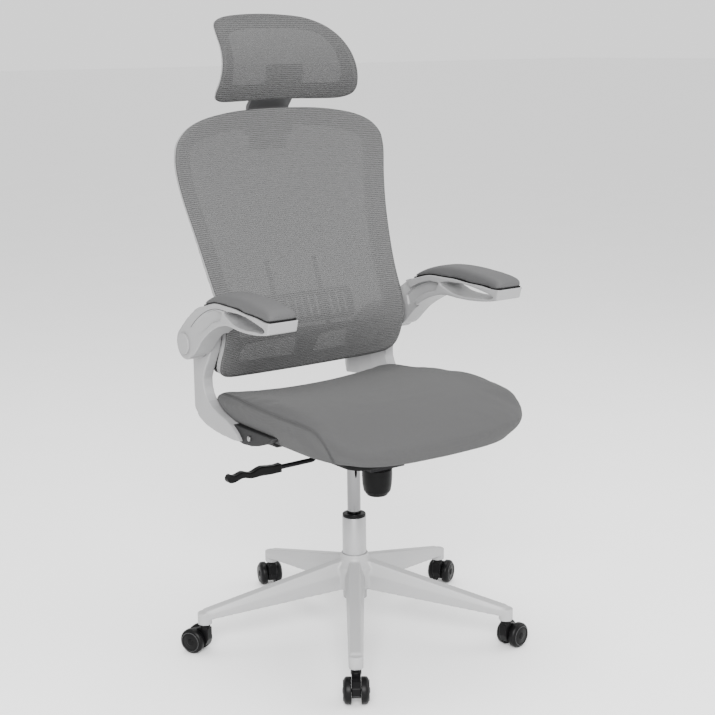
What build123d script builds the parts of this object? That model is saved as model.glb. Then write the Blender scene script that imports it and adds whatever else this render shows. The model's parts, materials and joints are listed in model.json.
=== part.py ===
"""Swivel chair with a mesh back: five-arm base, gas lift, tilting seat, flip-up arms and a headrest.

Millimetres. The origin is on the floor under the column. +Z is up, the sitter faces -Y, and the
sitter's left hand is at +X.
"""

import os
from math import cos, radians, sin

from build123d import *

os.makedirs("parts", exist_ok=True)

# ---------------------------------------------------------------- clearances
RUNNING = 0.05  # radial gap of a shaft in its bore
APART = 0.3  # gap between pieces of different bodies
SIDES = (("left", 1), ("right", -1))

# ---------------------------------------------------------------- star base
ARM_COUNT = 5
FIRST_ARM_ANGLE = 90.0  # the rear arm
CASTER_CIRCLE = 323.6  # column axis to caster stem
SOCKET_RADIUS = 14.5
SOCKET_BOTTOM = 62.0
TIP_TOP = 91.0
TIP_DEPTH = 19.0
ARM_FACE_WIDTH = 21.0
ARM_TOP_AT_HUB = 166.0
ARM_DEPTH_AT_HUB = 62.0
ARM_FLARE_AT_HUB = 40.0
ARM_ROOT = 22.0  # where the arm's inner end starts inside the hub
HUB_TOP = 177.0
HUB_TOP_RADIUS = 28.0
HUB_RADIUS = 42.0

# ---------------------------------------------------------------- casters
WHEEL_RADIUS = 26.0
WHEEL_WIDTH = 15.2
CASTER_WIDTH = 49.0
CASTER_TRAIL = 22.0
CASTER_TURNS = (71.0, 117.0, 234.0, 9.0, 29.0)  # heading of each trail, from the rear arm round
STEM_RADIUS = 5.0
STEM_LENGTH = 22.0
AXLE_RADIUS = 3.0
NECK_RADIUS = 10.5

# ---------------------------------------------------------------- gas lift
TUBE_RADIUS = 25.0
TUBE_WALL = 5.0
TUBE_BOTTOM = 78.0
TUBE_TOP = 256.0
BUSHING_LENGTH = 56.0
COLLAR_HEIGHT = 6.0
CYLINDER_RADIUS = 14.0
CYLINDER_WALL = 2.5
CYLINDER_BOTTOM = 215.0
CYLINDER_TOP = 412.0
CYLINDER_TAPER = 0.8
ROD_RADIUS = 5.0
PISTON_TOP = 285.0
PISTON_LENGTH = 15.0

# ---------------------------------------------------------------- tilt mechanism
PIVOT_Y = -40.0
PIVOT_Z = 420.0
PIVOT_RADIUS = 6.0
HOUSING_HALF_WIDTH = 42.0
HOUSING_WALL = 3.0
HOUSING_FLOOR = 384.0
HOUSING_FRONT = -118.0
HOUSING_REAR = 90.0
HOUSING_REAR_TOP = 402.0
HOUSING_FRONT_TOP = 436.0
PLATE_BOTTOM = 440.0
PLATE_THICKNESS = 4.0
PLATE_HALF_WIDTH = 75.0
PLATE_FRONT = -110.0
PLATE_REAR = 130.0
EAR_LENGTH = 44.0
SPRING_BARREL_RADIUS = 15.0
KNOB_Y = -81.0
KNOB_RADIUS = 31.0
KNOB_BOTTOM_RADIUS = 20.0
KNOB_TOP = 378.0
KNOB_BOTTOM = 322.0
SPINDLE_RADIUS = 6.0

# ---------------------------------------------------------------- lever
LEVER_Y = 65.0
LEVER_PIVOT_X = -18.0
LEVER_PIVOT_Z = 398.0
LEVER_ROD_RADIUS = 5.0
LEVER_PIN_RADIUS = 3.0
LEVER_EYE_RADIUS = 6.5
GRIP_START = Vector(-143, 58.5, 374)
GRIP_END = Vector(-271, 51, 372.5)
GRIP_THICKNESS = 15.0

# ---------------------------------------------------------------- seat
SEAT_BOTTOM = 455.0
SEAT_FRONT = -323.0
SEAT_REAR = 190.0
SEAT_HALF_WIDTH = 250.0
SEAT_WAIST = 214.5  # half width where the arm brackets hug the seat
SEAT_WAIST_TOP = 505.0
SEAT_NOTCH = 160.0  # y behind which the seat clears the bracket's stem
PAN_INSET = 30.0

# ---------------------------------------------------------------- side brackets and armrests
LEG_INNER = 222.0
LEG_OUTER = 246.0
WING_INNER = 180.0
FRAME_SEAT_Z = (578.0, 652.0)  # the raised seats that carry the back frame
BOSS_Y = 185.0
BOSS_Z = 630.0
BOSS_RADIUS = 33.0
BOSS_INNER = 247.0
BOSS_OUTER = 283.0
ARM_NOSE_Y = -171.0
ARM_NOSE_INNER = 243.5
ARM_NOSE_OUTER = 309.5  # the armrests spread towards the front
ARM_REAR_INNER = 236.0
ARM_SWING_CLEARANCE = 101.0  # radius cut clear of the bracket for the flip-up
WEB_INNER = 251.0
WEB_OUTER = 287.0
ARM_PIN_RADIUS = 7.0
CAP_RADIUS = 22.0
CAP_THICKNESS = 5.0
FLANGE_INNER = 215.0
FLANGE_OUTER = 238.0
FLANGE_PLATE = 5.5

# ---------------------------------------------------------------- back
BACK_BEND_CENTRE = -900.0  # y of the upright axis that the back is curved about
MESH_THICKNESS = 2.5
CARRIER_THICKNESS = 6.0
SHELL_THICKNESS = 12.0
BORDER = 38.0  # width of the frame round the open middle
CROSSBAR_Z = 630.0
SPINE_HALF_WIDTH = 20.0
LUMBAR_LEAN = 21.0
LUMBAR_HALF_WIDTH = 130.0
LUMBAR_HEIGHT = 68.0
LUMBAR_THICKNESS = 5.0
LUMBAR_CENTRE = Vector(0, 171, 675)
SLOT_COUNT = 13
SLOT_PITCH = 18.0
SLOT_WIDTH = 8.0
RAIL_X = 60.0

# ---------------------------------------------------------------- headrest
HEAD_BEND_CENTRE = -380.0
HEAD_BORDER = 30.0
HEAD_HINGE_Y = 262.0
HEAD_HINGE_Z = 1130.0
HINGE_RADIUS = 9.0
HINGE_PIN_RADIUS = 4.0
KNUCKLE_HALF_WIDTH = 21.5
LUG_OUTER = 40.0
POST_HALF_WIDTH = 45.0
POST_FRONT = 292.0
POST_THICKNESS = 8.0
POST_BOTTOM = 1000.0
GUIDE_BOTTOM = 1030.0
GUIDE_TOP = 1076.0
GUIDE_WALL = 6.0


# ---------------------------------------------------------------- shared shapes
def side_prism(points, x_from, x_to):
    """A closed (y, z) outline of straight lines, made solid from x_from to x_to."""
    low, high = sorted((x_from, x_to))
    with BuildPart() as prism:
        with BuildSketch(Plane.YZ.offset(low)):
            with BuildLine():
                Polyline(*points, close=True)
            make_face()
        extrude(amount=high - low)
    return prism.part


def smooth_side_prism(points, x_from, x_to):
    """The same, with one smooth closed curve through the points."""
    low, high = sorted((x_from, x_to))
    with BuildPart() as prism:
        with BuildSketch(Plane.YZ.offset(low)):
            with BuildLine():
                Spline(*points, periodic=True)
            make_face()
        extrude(amount=high - low)
    return prism.part


def plan_prism(points, z_from, z_to):
    """A closed (x, y) outline of straight lines, made solid from z_from to z_to."""
    with BuildPart() as prism:
        with BuildSketch(Plane.XY.offset(z_from)):
            with BuildLine():
                Polyline(*points, close=True)
            make_face()
        extrude(amount=z_to - z_from)
    return prism.part


def rod_along(axis, centre, radius, start, end):
    """A round bar of the given radius along X or Y through centre, between two places on that axis."""
    plane = Plane.YZ if axis == "x" else Plane.ZX
    centre = Vector(*centre)
    origin = Vector(start, centre.Y, centre.Z) if axis == "x" else Vector(centre.X, start, centre.Z)
    with BuildPart() as bar:
        with BuildSketch(Plane(origin, x_dir=plane.x_dir, z_dir=plane.z_dir)):
            Circle(radius)
        extrude(amount=end - start)
    return bar.part


def block(x, y, z):
    """A box between pairs of limits."""
    with BuildPart() as box:
        with Locations(Location(((x[0] + x[1]) / 2, (y[0] + y[1]) / 2, (z[0] + z[1]) / 2))):
            Box(x[1] - x[0], y[1] - y[0], z[1] - z[0])
    return box.part


def bent_sheet(profile, bend_centre, front, rear):
    """A sheet curved about an upright axis, between two offsets behind its (y, z) front profile."""
    axis = Axis((0, bend_centre, 0), (0, 0, 1))
    with BuildPart() as sheet:
        for turn in (20, -20):
            with BuildSketch(Plane.YZ):
                with BuildLine():
                    near = Spline(*[(y + front, z) for y, z in profile])
                    far = Spline(*[(y + rear, z) for y, z in profile])
                    Line(near @ 0, far @ 0)
                    Line(near @ 1, far @ 1)
                make_face()
            revolve(axis=axis, revolution_arc=turn)
    return sheet.part


def inset(points, amount):
    """Outline points of the +X half, going up, each moved inward square to its neighbours' line."""
    ends = [(-points[1][0], points[1][1])], [(-points[-2][0], points[-2][1])]
    if points[0][0] > 0:
        ends[0][0] = points[0]
    padded = ends[0] + points + ends[1]
    moved = []
    for (x0, z0), (x, z), (x1, z1) in zip(padded, padded[1:], padded[2:]):
        along = Vector(x1 - x0, z1 - z0).normalized()
        moved.append((x - amount * along.Y, z + amount * along.X))
    return moved


def mirrored(half):
    """A half outline from centre line to centre line, with its mirror image added."""
    return half + [(-x, z) for x, z in reversed(half[1:-1])]


def outline_prism(half):
    """A smooth symmetrical (x, z) outline carried right through the chair along Y."""
    with BuildPart() as prism:
        with BuildSketch(Plane.XZ):
            with BuildLine():
                Spline(*mirrored(half), periodic=True)
            make_face()
        extrude(amount=-600)
    return prism.part


def opening_prism(half, border, floor):
    """The opening left inside a frame of even width, closed below by a level edge at floor."""
    rim = inset([(x, z) for x, z in half if z > floor], border)
    rim = [(x, z) for x, z in rim if z > floor + 5]
    with BuildPart() as prism:
        with BuildSketch(Plane.XZ):
            with BuildLine():
                Spline(*rim, *[(-x, z) for x, z in reversed(rim[:-1])])
                Polyline((-rim[0][0], rim[0][1]), (-rim[0][0], floor), (rim[0][0], floor), rim[0])
            make_face()
        extrude(amount=-600)
        fillet(prism.edges().filter_by(Axis.Y).group_by(Axis.Z)[0], 8)
    return prism.part


# ---------------------------------------------------------------- star base
arm_angles = [FIRST_ARM_ANGLE + i * 360 / ARM_COUNT for i in range(ARM_COUNT)]

with BuildPart() as arm_blank:
    for radius, top, depth, width in (
        (ARM_ROOT, ARM_TOP_AT_HUB, ARM_DEPTH_AT_HUB, ARM_FLARE_AT_HUB),
        (CASTER_CIRCLE, TIP_TOP, TIP_DEPTH, 2 * SOCKET_RADIUS),
    ):
        with BuildSketch(Plane.YZ.offset(radius)):
            with BuildLine():
                Polyline(
                    (-ARM_FACE_WIDTH / 2, top),
                    (ARM_FACE_WIDTH / 2, top),
                    (width / 2, top - 0.45 * depth),
                    (0.48 * width, top - depth),
                    (-0.48 * width, top - depth),
                    (-width / 2, top - 0.45 * depth),
                    close=True,
                )
            make_face()
    loft(ruled=True)

with BuildPart() as arm:
    add(arm_blank.part)
    with BuildSketch(Plane.XY.offset(SOCKET_BOTTOM)):
        with Locations((CASTER_CIRCLE, 0)):
            Circle(SOCKET_RADIUS)
    extrude(amount=TIP_TOP - SOCKET_BOTTOM - 4)
    with BuildSketch(Plane.XY.offset(SOCKET_BOTTOM)):
        with Locations((CASTER_CIRCLE, 0)):
            Circle(STEM_RADIUS + RUNNING)
    extrude(amount=STEM_LENGTH + 1, mode=Mode.SUBTRACT)

with BuildPart() as star_base:
    with BuildSketch(Plane.XZ):
        with BuildLine():
            hub = Polyline(
                (0, ARM_TOP_AT_HUB - ARM_DEPTH_AT_HUB),
                (HUB_RADIUS, ARM_TOP_AT_HUB - ARM_DEPTH_AT_HUB),
                (HUB_RADIUS, 150),
            )
            ThreePointArc(hub @ 1, (32, 163), (HUB_TOP_RADIUS, HUB_TOP))
            Polyline((HUB_TOP_RADIUS, HUB_TOP), (0, HUB_TOP), hub @ 0)
        make_face()
    revolve(axis=Axis.Z)
    for angle in arm_angles:
        add(arm.part.rotate(Axis.Z, angle))
    with BuildSketch(Plane.XY.offset(TUBE_BOTTOM)):
        Circle(TUBE_RADIUS)
    extrude(amount=HUB_TOP - TUBE_BOTTOM + 1, mode=Mode.SUBTRACT)
star_base.part.label = "star_base"
export_step(star_base.part, "parts/star_base.step")


# ---------------------------------------------------------------- casters
half_gap = CASTER_WIDTH / 2 - WHEEL_WIDTH
stem_top = SOCKET_BOTTOM + STEM_LENGTH

with BuildPart() as fork:
    with BuildSketch(Plane.XZ.offset(-half_gap + APART)):
        with BuildLine():
            Polyline(
                (-NECK_RADIUS, 54), (-NECK_RADIUS, 30), (-4, 16), (10, 12.5),
                (32, 14), (43, 24), (41, 37), (30, 47), (16, 51), (NECK_RADIUS, 54), close=True,
            )
        make_face()
    extrude(amount=2 * (half_gap - APART))
    with BuildSketch(Plane.XY.offset(50)):
        Circle(NECK_RADIUS)
    extrude(amount=SOCKET_BOTTOM - APART - 50)
    with BuildSketch(Plane.XY.offset(55)):
        Circle(STEM_RADIUS)
    extrude(amount=stem_top - 55)
    add(
        rod_along("y", (CASTER_TRAIL, 0, WHEEL_RADIUS), AXLE_RADIUS + RUNNING, -20, 20),
        mode=Mode.SUBTRACT,
    )

outer = CASTER_WIDTH / 2
axle_end = outer - 4.5
with BuildPart() as wheel:
    with BuildSketch(Plane.XY):
        with BuildLine():
            tread = Polyline(
                (half_gap, AXLE_RADIUS), (half_gap, WHEEL_RADIUS - 1),
                (half_gap + 1, WHEEL_RADIUS), (outer - 6, WHEEL_RADIUS),
            )
            shoulder = ThreePointArc(
                tread @ 1, (outer - 1.9, WHEEL_RADIUS - 3), (outer - 0.8, WHEEL_RADIUS - 8)
            )
            Polyline(
                shoulder @ 1, (outer, WHEEL_RADIUS - 9), (outer, 0), (axle_end, 0),
                (axle_end, AXLE_RADIUS), tread @ 0,
            )
        make_face()
    revolve(axis=Axis.X)
wheel_right = wheel.part.rotate(Axis.Z, 90).translate((CASTER_TRAIL, 0, WHEEL_RADIUS))
wheel_left = wheel.part.rotate(Axis.Z, -90).translate((CASTER_TRAIL, 0, WHEEL_RADIUS))
axle = rod_along("y", (CASTER_TRAIL, 0, WHEEL_RADIUS), AXLE_RADIUS, -axle_end, axle_end)


def place_on_arm(piece, index):
    """A caster piece turned to its own heading and carried out to its arm's socket."""
    angle = radians(arm_angles[index])
    spot = (CASTER_CIRCLE * cos(angle), CASTER_CIRCLE * sin(angle), 0)
    return piece.rotate(Axis.Z, CASTER_TURNS[index]).translate(spot)


for index in range(ARM_COUNT):
    number = index + 1
    with BuildPart() as caster_fork:
        add(place_on_arm(fork.part, index))
    caster_fork.part.label = f"caster_fork_{number}"
    export_step(caster_fork.part, f"parts/caster_fork_{number}.step")

    with BuildPart() as caster_wheels:
        add(place_on_arm(wheel_left, index))
        add(place_on_arm(wheel_right, index))
    caster_wheels.part.label = f"caster_wheels_{number}"
    export_step(caster_wheels.part, f"parts/caster_wheels_{number}.step")

    with BuildPart() as caster_axle:
        add(place_on_arm(axle, index))
    caster_axle.part.label = f"caster_axle_{number}"
    export_step(caster_axle.part, f"parts/caster_axle_{number}.step")


# ---------------------------------------------------------------- gas lift
bore = TUBE_RADIUS - TUBE_WALL
tube_floor = TUBE_BOTTOM + 4
with BuildPart() as column_tube:
    with BuildSketch(Plane.XZ):
        with BuildLine():
            Polyline(
                (ROD_RADIUS + RUNNING, TUBE_BOTTOM), (TUBE_RADIUS, TUBE_BOTTOM),
                (TUBE_RADIUS, TUBE_TOP), (bore, TUBE_TOP), (bore, tube_floor),
                (ROD_RADIUS + RUNNING, tube_floor), close=True,
            )
        make_face()
    revolve(axis=Axis.Z)
column_tube.part.label = "column_tube"
export_step(column_tube.part, "parts/column_tube.step")

with BuildPart() as column_bushing:
    with BuildSketch(Plane.XZ):
        with BuildLine():
            Polyline(
                (CYLINDER_RADIUS + RUNNING, TUBE_TOP - BUSHING_LENGTH),
                (bore, TUBE_TOP - BUSHING_LENGTH), (bore, TUBE_TOP),
                (TUBE_RADIUS - 0.5, TUBE_TOP), (TUBE_RADIUS - 0.5, TUBE_TOP + COLLAR_HEIGHT - 1),
                (TUBE_RADIUS - 1.5, TUBE_TOP + COLLAR_HEIGHT),
                (CYLINDER_RADIUS + RUNNING, TUBE_TOP + COLLAR_HEIGHT), close=True,
            )
        make_face()
    revolve(axis=Axis.Z)
column_bushing.part.label = "column_bushing"
export_step(column_bushing.part, "parts/column_bushing.step")

bearing_bottom = tube_floor + APART
bearing_top = bearing_bottom + 6
with BuildPart() as piston_rod:
    with BuildSketch(Plane.XZ):
        with BuildLine():
            Polyline(
                (0, TUBE_BOTTOM - 6), (ROD_RADIUS + 3, TUBE_BOTTOM - 6),
                (ROD_RADIUS + 3, TUBE_BOTTOM - APART), (ROD_RADIUS, TUBE_BOTTOM - APART),
                (ROD_RADIUS, PISTON_TOP - PISTON_LENGTH),
                (CYLINDER_RADIUS - CYLINDER_WALL - RUNNING, PISTON_TOP - PISTON_LENGTH),
                (CYLINDER_RADIUS - CYLINDER_WALL - RUNNING, PISTON_TOP), (0, PISTON_TOP),
                close=True,
            )
        make_face()
    revolve(axis=Axis.Z)
piston_rod.part.label = "piston_rod"
export_step(piston_rod.part, "parts/piston_rod.step")

with BuildPart() as thrust_bearing:
    with BuildSketch(Plane.XY.offset(bearing_bottom)):
        Circle(ROD_RADIUS + 8)
        Circle(ROD_RADIUS, mode=Mode.SUBTRACT)
    extrude(amount=bearing_top - bearing_bottom)
thrust_bearing.part.label = "thrust_bearing"
export_step(thrust_bearing.part, "parts/thrust_bearing.step")

taper_start = HOUSING_FLOOR
cylinder_outside = [
    (CYLINDER_RADIUS, CYLINDER_BOTTOM), (CYLINDER_RADIUS, taper_start),
    (CYLINDER_RADIUS - CYLINDER_TAPER, CYLINDER_TOP), (0, CYLINDER_TOP),
]
with BuildPart() as cylinder_envelope:
    with BuildSketch(Plane.XZ):
        with BuildLine():
            Polyline((0, CYLINDER_BOTTOM), *cylinder_outside, close=True)
        make_face()
    revolve(axis=Axis.Z)

with BuildPart() as gas_cylinder:
    with BuildSketch(Plane.XZ):
        with BuildLine():
            inside = CYLINDER_RADIUS - CYLINDER_WALL
            Polyline(
                (ROD_RADIUS + RUNNING, CYLINDER_BOTTOM), *cylinder_outside,
                (0, CYLINDER_TOP - 10), (inside, CYLINDER_TOP - 10),
                (inside, CYLINDER_BOTTOM + 10), (ROD_RADIUS + RUNNING, CYLINDER_BOTTOM + 10),
                close=True,
            )
        make_face()
    revolve(axis=Axis.Z)
gas_cylinder.part.label = "gas_cylinder"
export_step(gas_cylinder.part, "parts/gas_cylinder.step")


# ---------------------------------------------------------------- tilt mechanism
inner_half = HOUSING_HALF_WIDTH - HOUSING_WALL
wedge_start = PIVOT_Y + PIVOT_RADIUS + 6
with BuildPart() as tilt_housing:
    add(
        side_prism(
            [
                (HOUSING_FRONT, HOUSING_FLOOR), (HOUSING_REAR, HOUSING_FLOOR),
                (HOUSING_REAR, HOUSING_REAR_TOP), (wedge_start, HOUSING_FRONT_TOP),
                (HOUSING_FRONT, HOUSING_FRONT_TOP),
            ],
            -HOUSING_HALF_WIDTH,
            HOUSING_HALF_WIDTH,
        )
    )
    add(
        block(
            (-inner_half, inner_half),
            (HOUSING_FRONT + HOUSING_WALL, HOUSING_REAR - HOUSING_WALL),
            (HOUSING_FLOOR + HOUSING_WALL, HOUSING_FRONT_TOP + 10),
        ),
        mode=Mode.SUBTRACT,
    )
    with BuildSketch(Plane.XY.offset(HOUSING_FLOOR)):
        Circle(CYLINDER_RADIUS + 6)
    extrude(amount=CYLINDER_TOP - HOUSING_FLOOR - 2)
    add(rod_along("x", (0, PIVOT_Y, PIVOT_Z), PIVOT_RADIUS + RUNNING, -60, 60), mode=Mode.SUBTRACT)
    add(
        block(
            (-HOUSING_HALF_WIDTH - 1, -inner_half + 1),
            (LEVER_Y - 8, LEVER_Y + 8),
            (LEVER_PIVOT_Z - 9, HOUSING_FRONT_TOP),
        ),
        mode=Mode.SUBTRACT,
    )
    add(cylinder_envelope.part, mode=Mode.SUBTRACT)
    with BuildSketch(Plane.XY.offset(HOUSING_FLOOR - 5)):
        with Locations((0, KNOB_Y)):
            Circle(SPINDLE_RADIUS)
    extrude(amount=20, mode=Mode.SUBTRACT)
tilt_housing.part.label = "tilt_housing"
export_step(tilt_housing.part, "parts/tilt_housing.step")

with BuildPart() as spring_barrel:
    add(
        rod_along(
            "x", (0, PIVOT_Y, PIVOT_Z), SPRING_BARREL_RADIUS, -inner_half, inner_half
        )
    )
    add(rod_along("x", (0, PIVOT_Y, PIVOT_Z), PIVOT_RADIUS + RUNNING, -60, 60), mode=Mode.SUBTRACT)
spring_barrel.part.label = "spring_barrel"
export_step(spring_barrel.part, "parts/spring_barrel.step")

spindle_end = KNOB_BOTTOM + 14
with BuildPart() as knob_spindle:
    with BuildSketch(Plane.XY.offset(spindle_end)):
        with Locations((0, KNOB_Y)):
            Circle(SPINDLE_RADIUS)
    extrude(amount=HOUSING_FLOOR + HOUSING_WALL + 6 - spindle_end)
    with BuildSketch(Plane.XY.offset(HOUSING_FLOOR + HOUSING_WALL)):
        with Locations((0, KNOB_Y)):
            RegularPolygon(radius=11, side_count=6)
    extrude(amount=7)
knob_spindle.part.label = "knob_spindle"
export_step(knob_spindle.part, "parts/knob_spindle.step")

with BuildPart() as tension_knob:
    with BuildSketch(Plane.XZ):
        with BuildLine():
            Polyline(
                (0, KNOB_BOTTOM), (KNOB_BOTTOM_RADIUS, KNOB_BOTTOM),
                (KNOB_RADIUS - 3.5, KNOB_BOTTOM + 10), (KNOB_RADIUS - 1, KNOB_BOTTOM + 24),
                (KNOB_RADIUS, KNOB_BOTTOM + 42), (KNOB_RADIUS, KNOB_TOP), (0, KNOB_TOP), close=True,
            )
        make_face()
    revolve(axis=Axis.Z)
    with BuildSketch(Plane.XY.offset(spindle_end - 1)):
        Circle(SPINDLE_RADIUS + RUNNING)
    extrude(amount=KNOB_TOP - spindle_end + 2, mode=Mode.SUBTRACT)
tension_knob.part.position = (0, KNOB_Y, 0)
tension_knob.part.label = "tension_knob"
export_step(tension_knob.part, "parts/tension_knob.step")

ear_front, ear_rear = PIVOT_Y - EAR_LENGTH / 2, PIVOT_Y + EAR_LENGTH / 2
ear_inner = HOUSING_HALF_WIDTH + APART
with BuildPart() as tilt_plate:
    add(
        block(
            (-PLATE_HALF_WIDTH, PLATE_HALF_WIDTH),
            (PLATE_FRONT, PLATE_REAR),
            (PLATE_BOTTOM, PLATE_BOTTOM + PLATE_THICKNESS),
        )
    )
    fillet(tilt_plate.edges().filter_by(Axis.Z), 12)
    for side in (-1, 1):
        add(
            side_prism(
                [
                    (ear_front, PLATE_BOTTOM), (ear_rear, PLATE_BOTTOM),
                    (PIVOT_Y + 9, PIVOT_Z - 11), (PIVOT_Y - 9, PIVOT_Z - 11),
                ],
                side * ear_inner,
                side * (ear_inner + 5),
            )
        )
    add(rod_along("x", (0, PIVOT_Y, PIVOT_Z), PIVOT_RADIUS, -60, 60), mode=Mode.SUBTRACT)
tilt_plate.part.label = "tilt_plate"
export_step(tilt_plate.part, "parts/tilt_plate.step")

with BuildPart() as tilt_pin:
    add(
        rod_along("x", (0, PIVOT_Y, PIVOT_Z), PIVOT_RADIUS, -ear_inner - 5, ear_inner + 5)
    )
    for side in (-1, 1):
        start = side * (ear_inner + 5)
        low, high = sorted((start, start + side * 3))
        add(rod_along("x", (0, PIVOT_Y, PIVOT_Z), PIVOT_RADIUS + 3, low, high))
tilt_pin.part.label = "tilt_pin"
export_step(tilt_pin.part, "parts/tilt_pin.step")

plate_bolt_spots = [(x, y) for x in (-60, 60) for y in (PLATE_FRONT + 18, PLATE_REAR - 18)]
with BuildPart() as plate_bolts:
    with BuildSketch(Plane.XY.offset(PLATE_BOTTOM - 4)):
        with Locations(*plate_bolt_spots):
            RegularPolygon(radius=6, side_count=6)
    extrude(amount=4)
plate_bolts.part.label = "plate_bolts"
export_step(plate_bolts.part, "parts/plate_bolts.step")


# ---------------------------------------------------------------- lever
saddle_floor = HOUSING_FLOOR + HOUSING_WALL + APART
ear_gap = LEVER_EYE_RADIUS + APART
with BuildPart() as lever_saddle:
    add(
        block(
            (LEVER_PIVOT_X - 8, LEVER_PIVOT_X + 8),
            (LEVER_Y - ear_gap - 3, LEVER_Y + ear_gap + 3),
            (saddle_floor, LEVER_PIVOT_Z + 4.5),
        )
    )
    add(
        block(
            (LEVER_PIVOT_X - 9, LEVER_PIVOT_X + 9),
            (LEVER_Y - ear_gap, LEVER_Y + ear_gap),
            (saddle_floor + 2, LEVER_PIVOT_Z + 10),
        ),
        mode=Mode.SUBTRACT,
    )
    add(
        rod_along(
            "y", (LEVER_PIVOT_X, 0, LEVER_PIVOT_Z), LEVER_PIN_RADIUS,
            LEVER_Y - ear_gap, LEVER_Y + ear_gap,
        )
    )
lever_saddle.part.label = "lever_saddle"
export_step(lever_saddle.part, "parts/lever_saddle.step")

with BuildPart() as lever_rod:
    with BuildLine() as lever_path:
        FilletPolyline(
            (LEVER_PIVOT_X - 5, LEVER_Y, LEVER_PIVOT_Z), (-50, LEVER_Y, LEVER_PIVOT_Z),
            (-53, LEVER_Y, 372.5), GRIP_START, radius=9,
        )
    with BuildSketch(Plane(lever_path.line @ 0, z_dir=lever_path.line % 0)):
        Circle(LEVER_ROD_RADIUS)
    sweep()
    add(
        rod_along(
            "y", (LEVER_PIVOT_X, 0, LEVER_PIVOT_Z), LEVER_EYE_RADIUS,
            LEVER_Y - LEVER_EYE_RADIUS, LEVER_Y + LEVER_EYE_RADIUS,
        )
    )
    add(
        rod_along(
            "y", (LEVER_PIVOT_X, 0, LEVER_PIVOT_Z), LEVER_PIN_RADIUS + RUNNING,
            LEVER_Y - 20, LEVER_Y + 20,
        ),
        mode=Mode.SUBTRACT,
    )
lever_rod.part.label = "lever_rod"
export_step(lever_rod.part, "parts/lever_rod.step")

grip_length = (GRIP_END - GRIP_START).length
grip_plane = Plane(GRIP_START, x_dir=GRIP_END - GRIP_START, z_dir=(0, -1, 0))
with BuildPart() as lever_grip:
    with BuildSketch(grip_plane.offset(-GRIP_THICKNESS / 2)):
        with BuildLine():
            under = Spline(
                (0, -9), (30, -9), (52, -10), (74, -4), (92, -9), (112, -5), (grip_length - 9, -9),
            )
            over = Spline((0, 9), (30, 9), (55, 8), (74, 8), (92, 4), (112, 9), (grip_length - 9, 9))
            ThreePointArc(under @ 1, (grip_length, 0), over @ 1)
            Line(over @ 0, under @ 0)
        make_face()
    extrude(amount=GRIP_THICKNESS)
    add(lever_rod.part, mode=Mode.SUBTRACT)
lever_grip.part.label = "lever_grip"
export_step(lever_grip.part, "parts/lever_grip.step")


# ---------------------------------------------------------------- seat
pan_half = SEAT_WAIST - PAN_INSET
with BuildPart() as seat_pan:
    add(
        block(
            (-pan_half, pan_half),
            (SEAT_FRONT + 60, SEAT_REAR - 40),
            (PLATE_BOTTOM + PLATE_THICKNESS, SEAT_BOTTOM),
        )
    )
    fillet(seat_pan.edges().filter_by(Axis.Z), 40)
seat_pan.part.label = "seat_pan"
export_step(seat_pan.part, "parts/seat_pan.step")


def seat_plan(half_width, bottom, top):
    """The seat's rounded outline from above at a given greatest half width, made solid."""
    right = [
        (0, SEAT_FRONT), (0.50 * half_width, SEAT_FRONT + 6), (0.76 * half_width, SEAT_FRONT + 28),
        (0.91 * half_width, SEAT_FRONT + 74), (0.98 * half_width, SEAT_FRONT + 140),
        (half_width, -80), (0.99 * half_width, 20), (0.965 * half_width, 92),
        (0.93 * half_width, 140), (0.87 * half_width, 172), (0.74 * half_width, SEAT_REAR - 4),
        (0, SEAT_REAR),
    ]
    with BuildPart() as slab:
        with BuildSketch(Plane.XY.offset(bottom)):
            with BuildLine():
                Spline(*right, *[(-x, y) for x, y in reversed(right[1:-1])], periodic=True)
            make_face()
        extrude(amount=top - bottom)
    return slab.part


with BuildPart() as seat_cushion:
    with BuildSketch(Plane.YZ.offset(-SEAT_HALF_WIDTH)):
        with BuildLine():
            top = Spline(
                (SEAT_REAR, 500), (108, 520), (0, 533), (-107, 540), (-190, 538), (-275, 520),
                (SEAT_FRONT, 492), tangents=((-1, 0.35), (-0.3, -1)),
            )
            nose = Spline(top @ 1, (SEAT_FRONT + 5, 472), (SEAT_FRONT + 24, SEAT_BOTTOM))
            Line(nose @ 1, (SEAT_REAR, SEAT_BOTTOM))
            Line((SEAT_REAR, SEAT_BOTTOM), top @ 0)
        make_face()
    extrude(amount=2 * SEAT_HALF_WIDTH)
    with BuildPart(mode=Mode.INTERSECT):
        add(seat_plan(SEAT_WAIST, SEAT_BOTTOM - 1, SEAT_WAIST_TOP))
        add(seat_plan(SEAT_HALF_WIDTH, SEAT_WAIST_TOP, 560))
        for _, sign in SIDES:
            add(
                block(
                    sorted((sign * (LEG_INNER - APART), sign * 300)),
                    (SEAT_NOTCH, SEAT_REAR + 10),
                    (SEAT_BOTTOM - 5, 560),
                ),
                mode=Mode.SUBTRACT,
            )
seat_cushion.part.label = "seat_cushion"
export_step(seat_cushion.part, "parts/seat_cushion.step")


# ---------------------------------------------------------------- back: profile and outlines
back_profile = [
    (178, 553), (155, 600), (141, 655), (166, 720), (219, 840), (257, 960), (261, 1010), (254, 1094),
]


back_half = [
    (0, 545), (70, 546), (140, 549), (195, 554), (219, 565), (227, 590), (225, 650), (230, 740),
    (241, 840), (254, 925), (260, 975), (259, 1005), (251, 1030), (226, 1054), (187, 1070),
    (134, 1080), (80, 1085), (0, 1087),
]
# the frame shows as a lip outside the mesh that fades out towards the top
frame_half = [(x - 8 * (z - 545) / 540, z) if z < 1040 else (x - 6, z - 5) for x, z in back_half]


def back_layer(front, rear, half):
    """One layer of the back between two offsets behind the mesh's front face."""
    with BuildPart() as layer:
        add(bent_sheet(back_profile, BACK_BEND_CENTRE, front, rear))
        add(outline_prism(half), mode=Mode.INTERSECT)
    return layer.part


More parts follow.
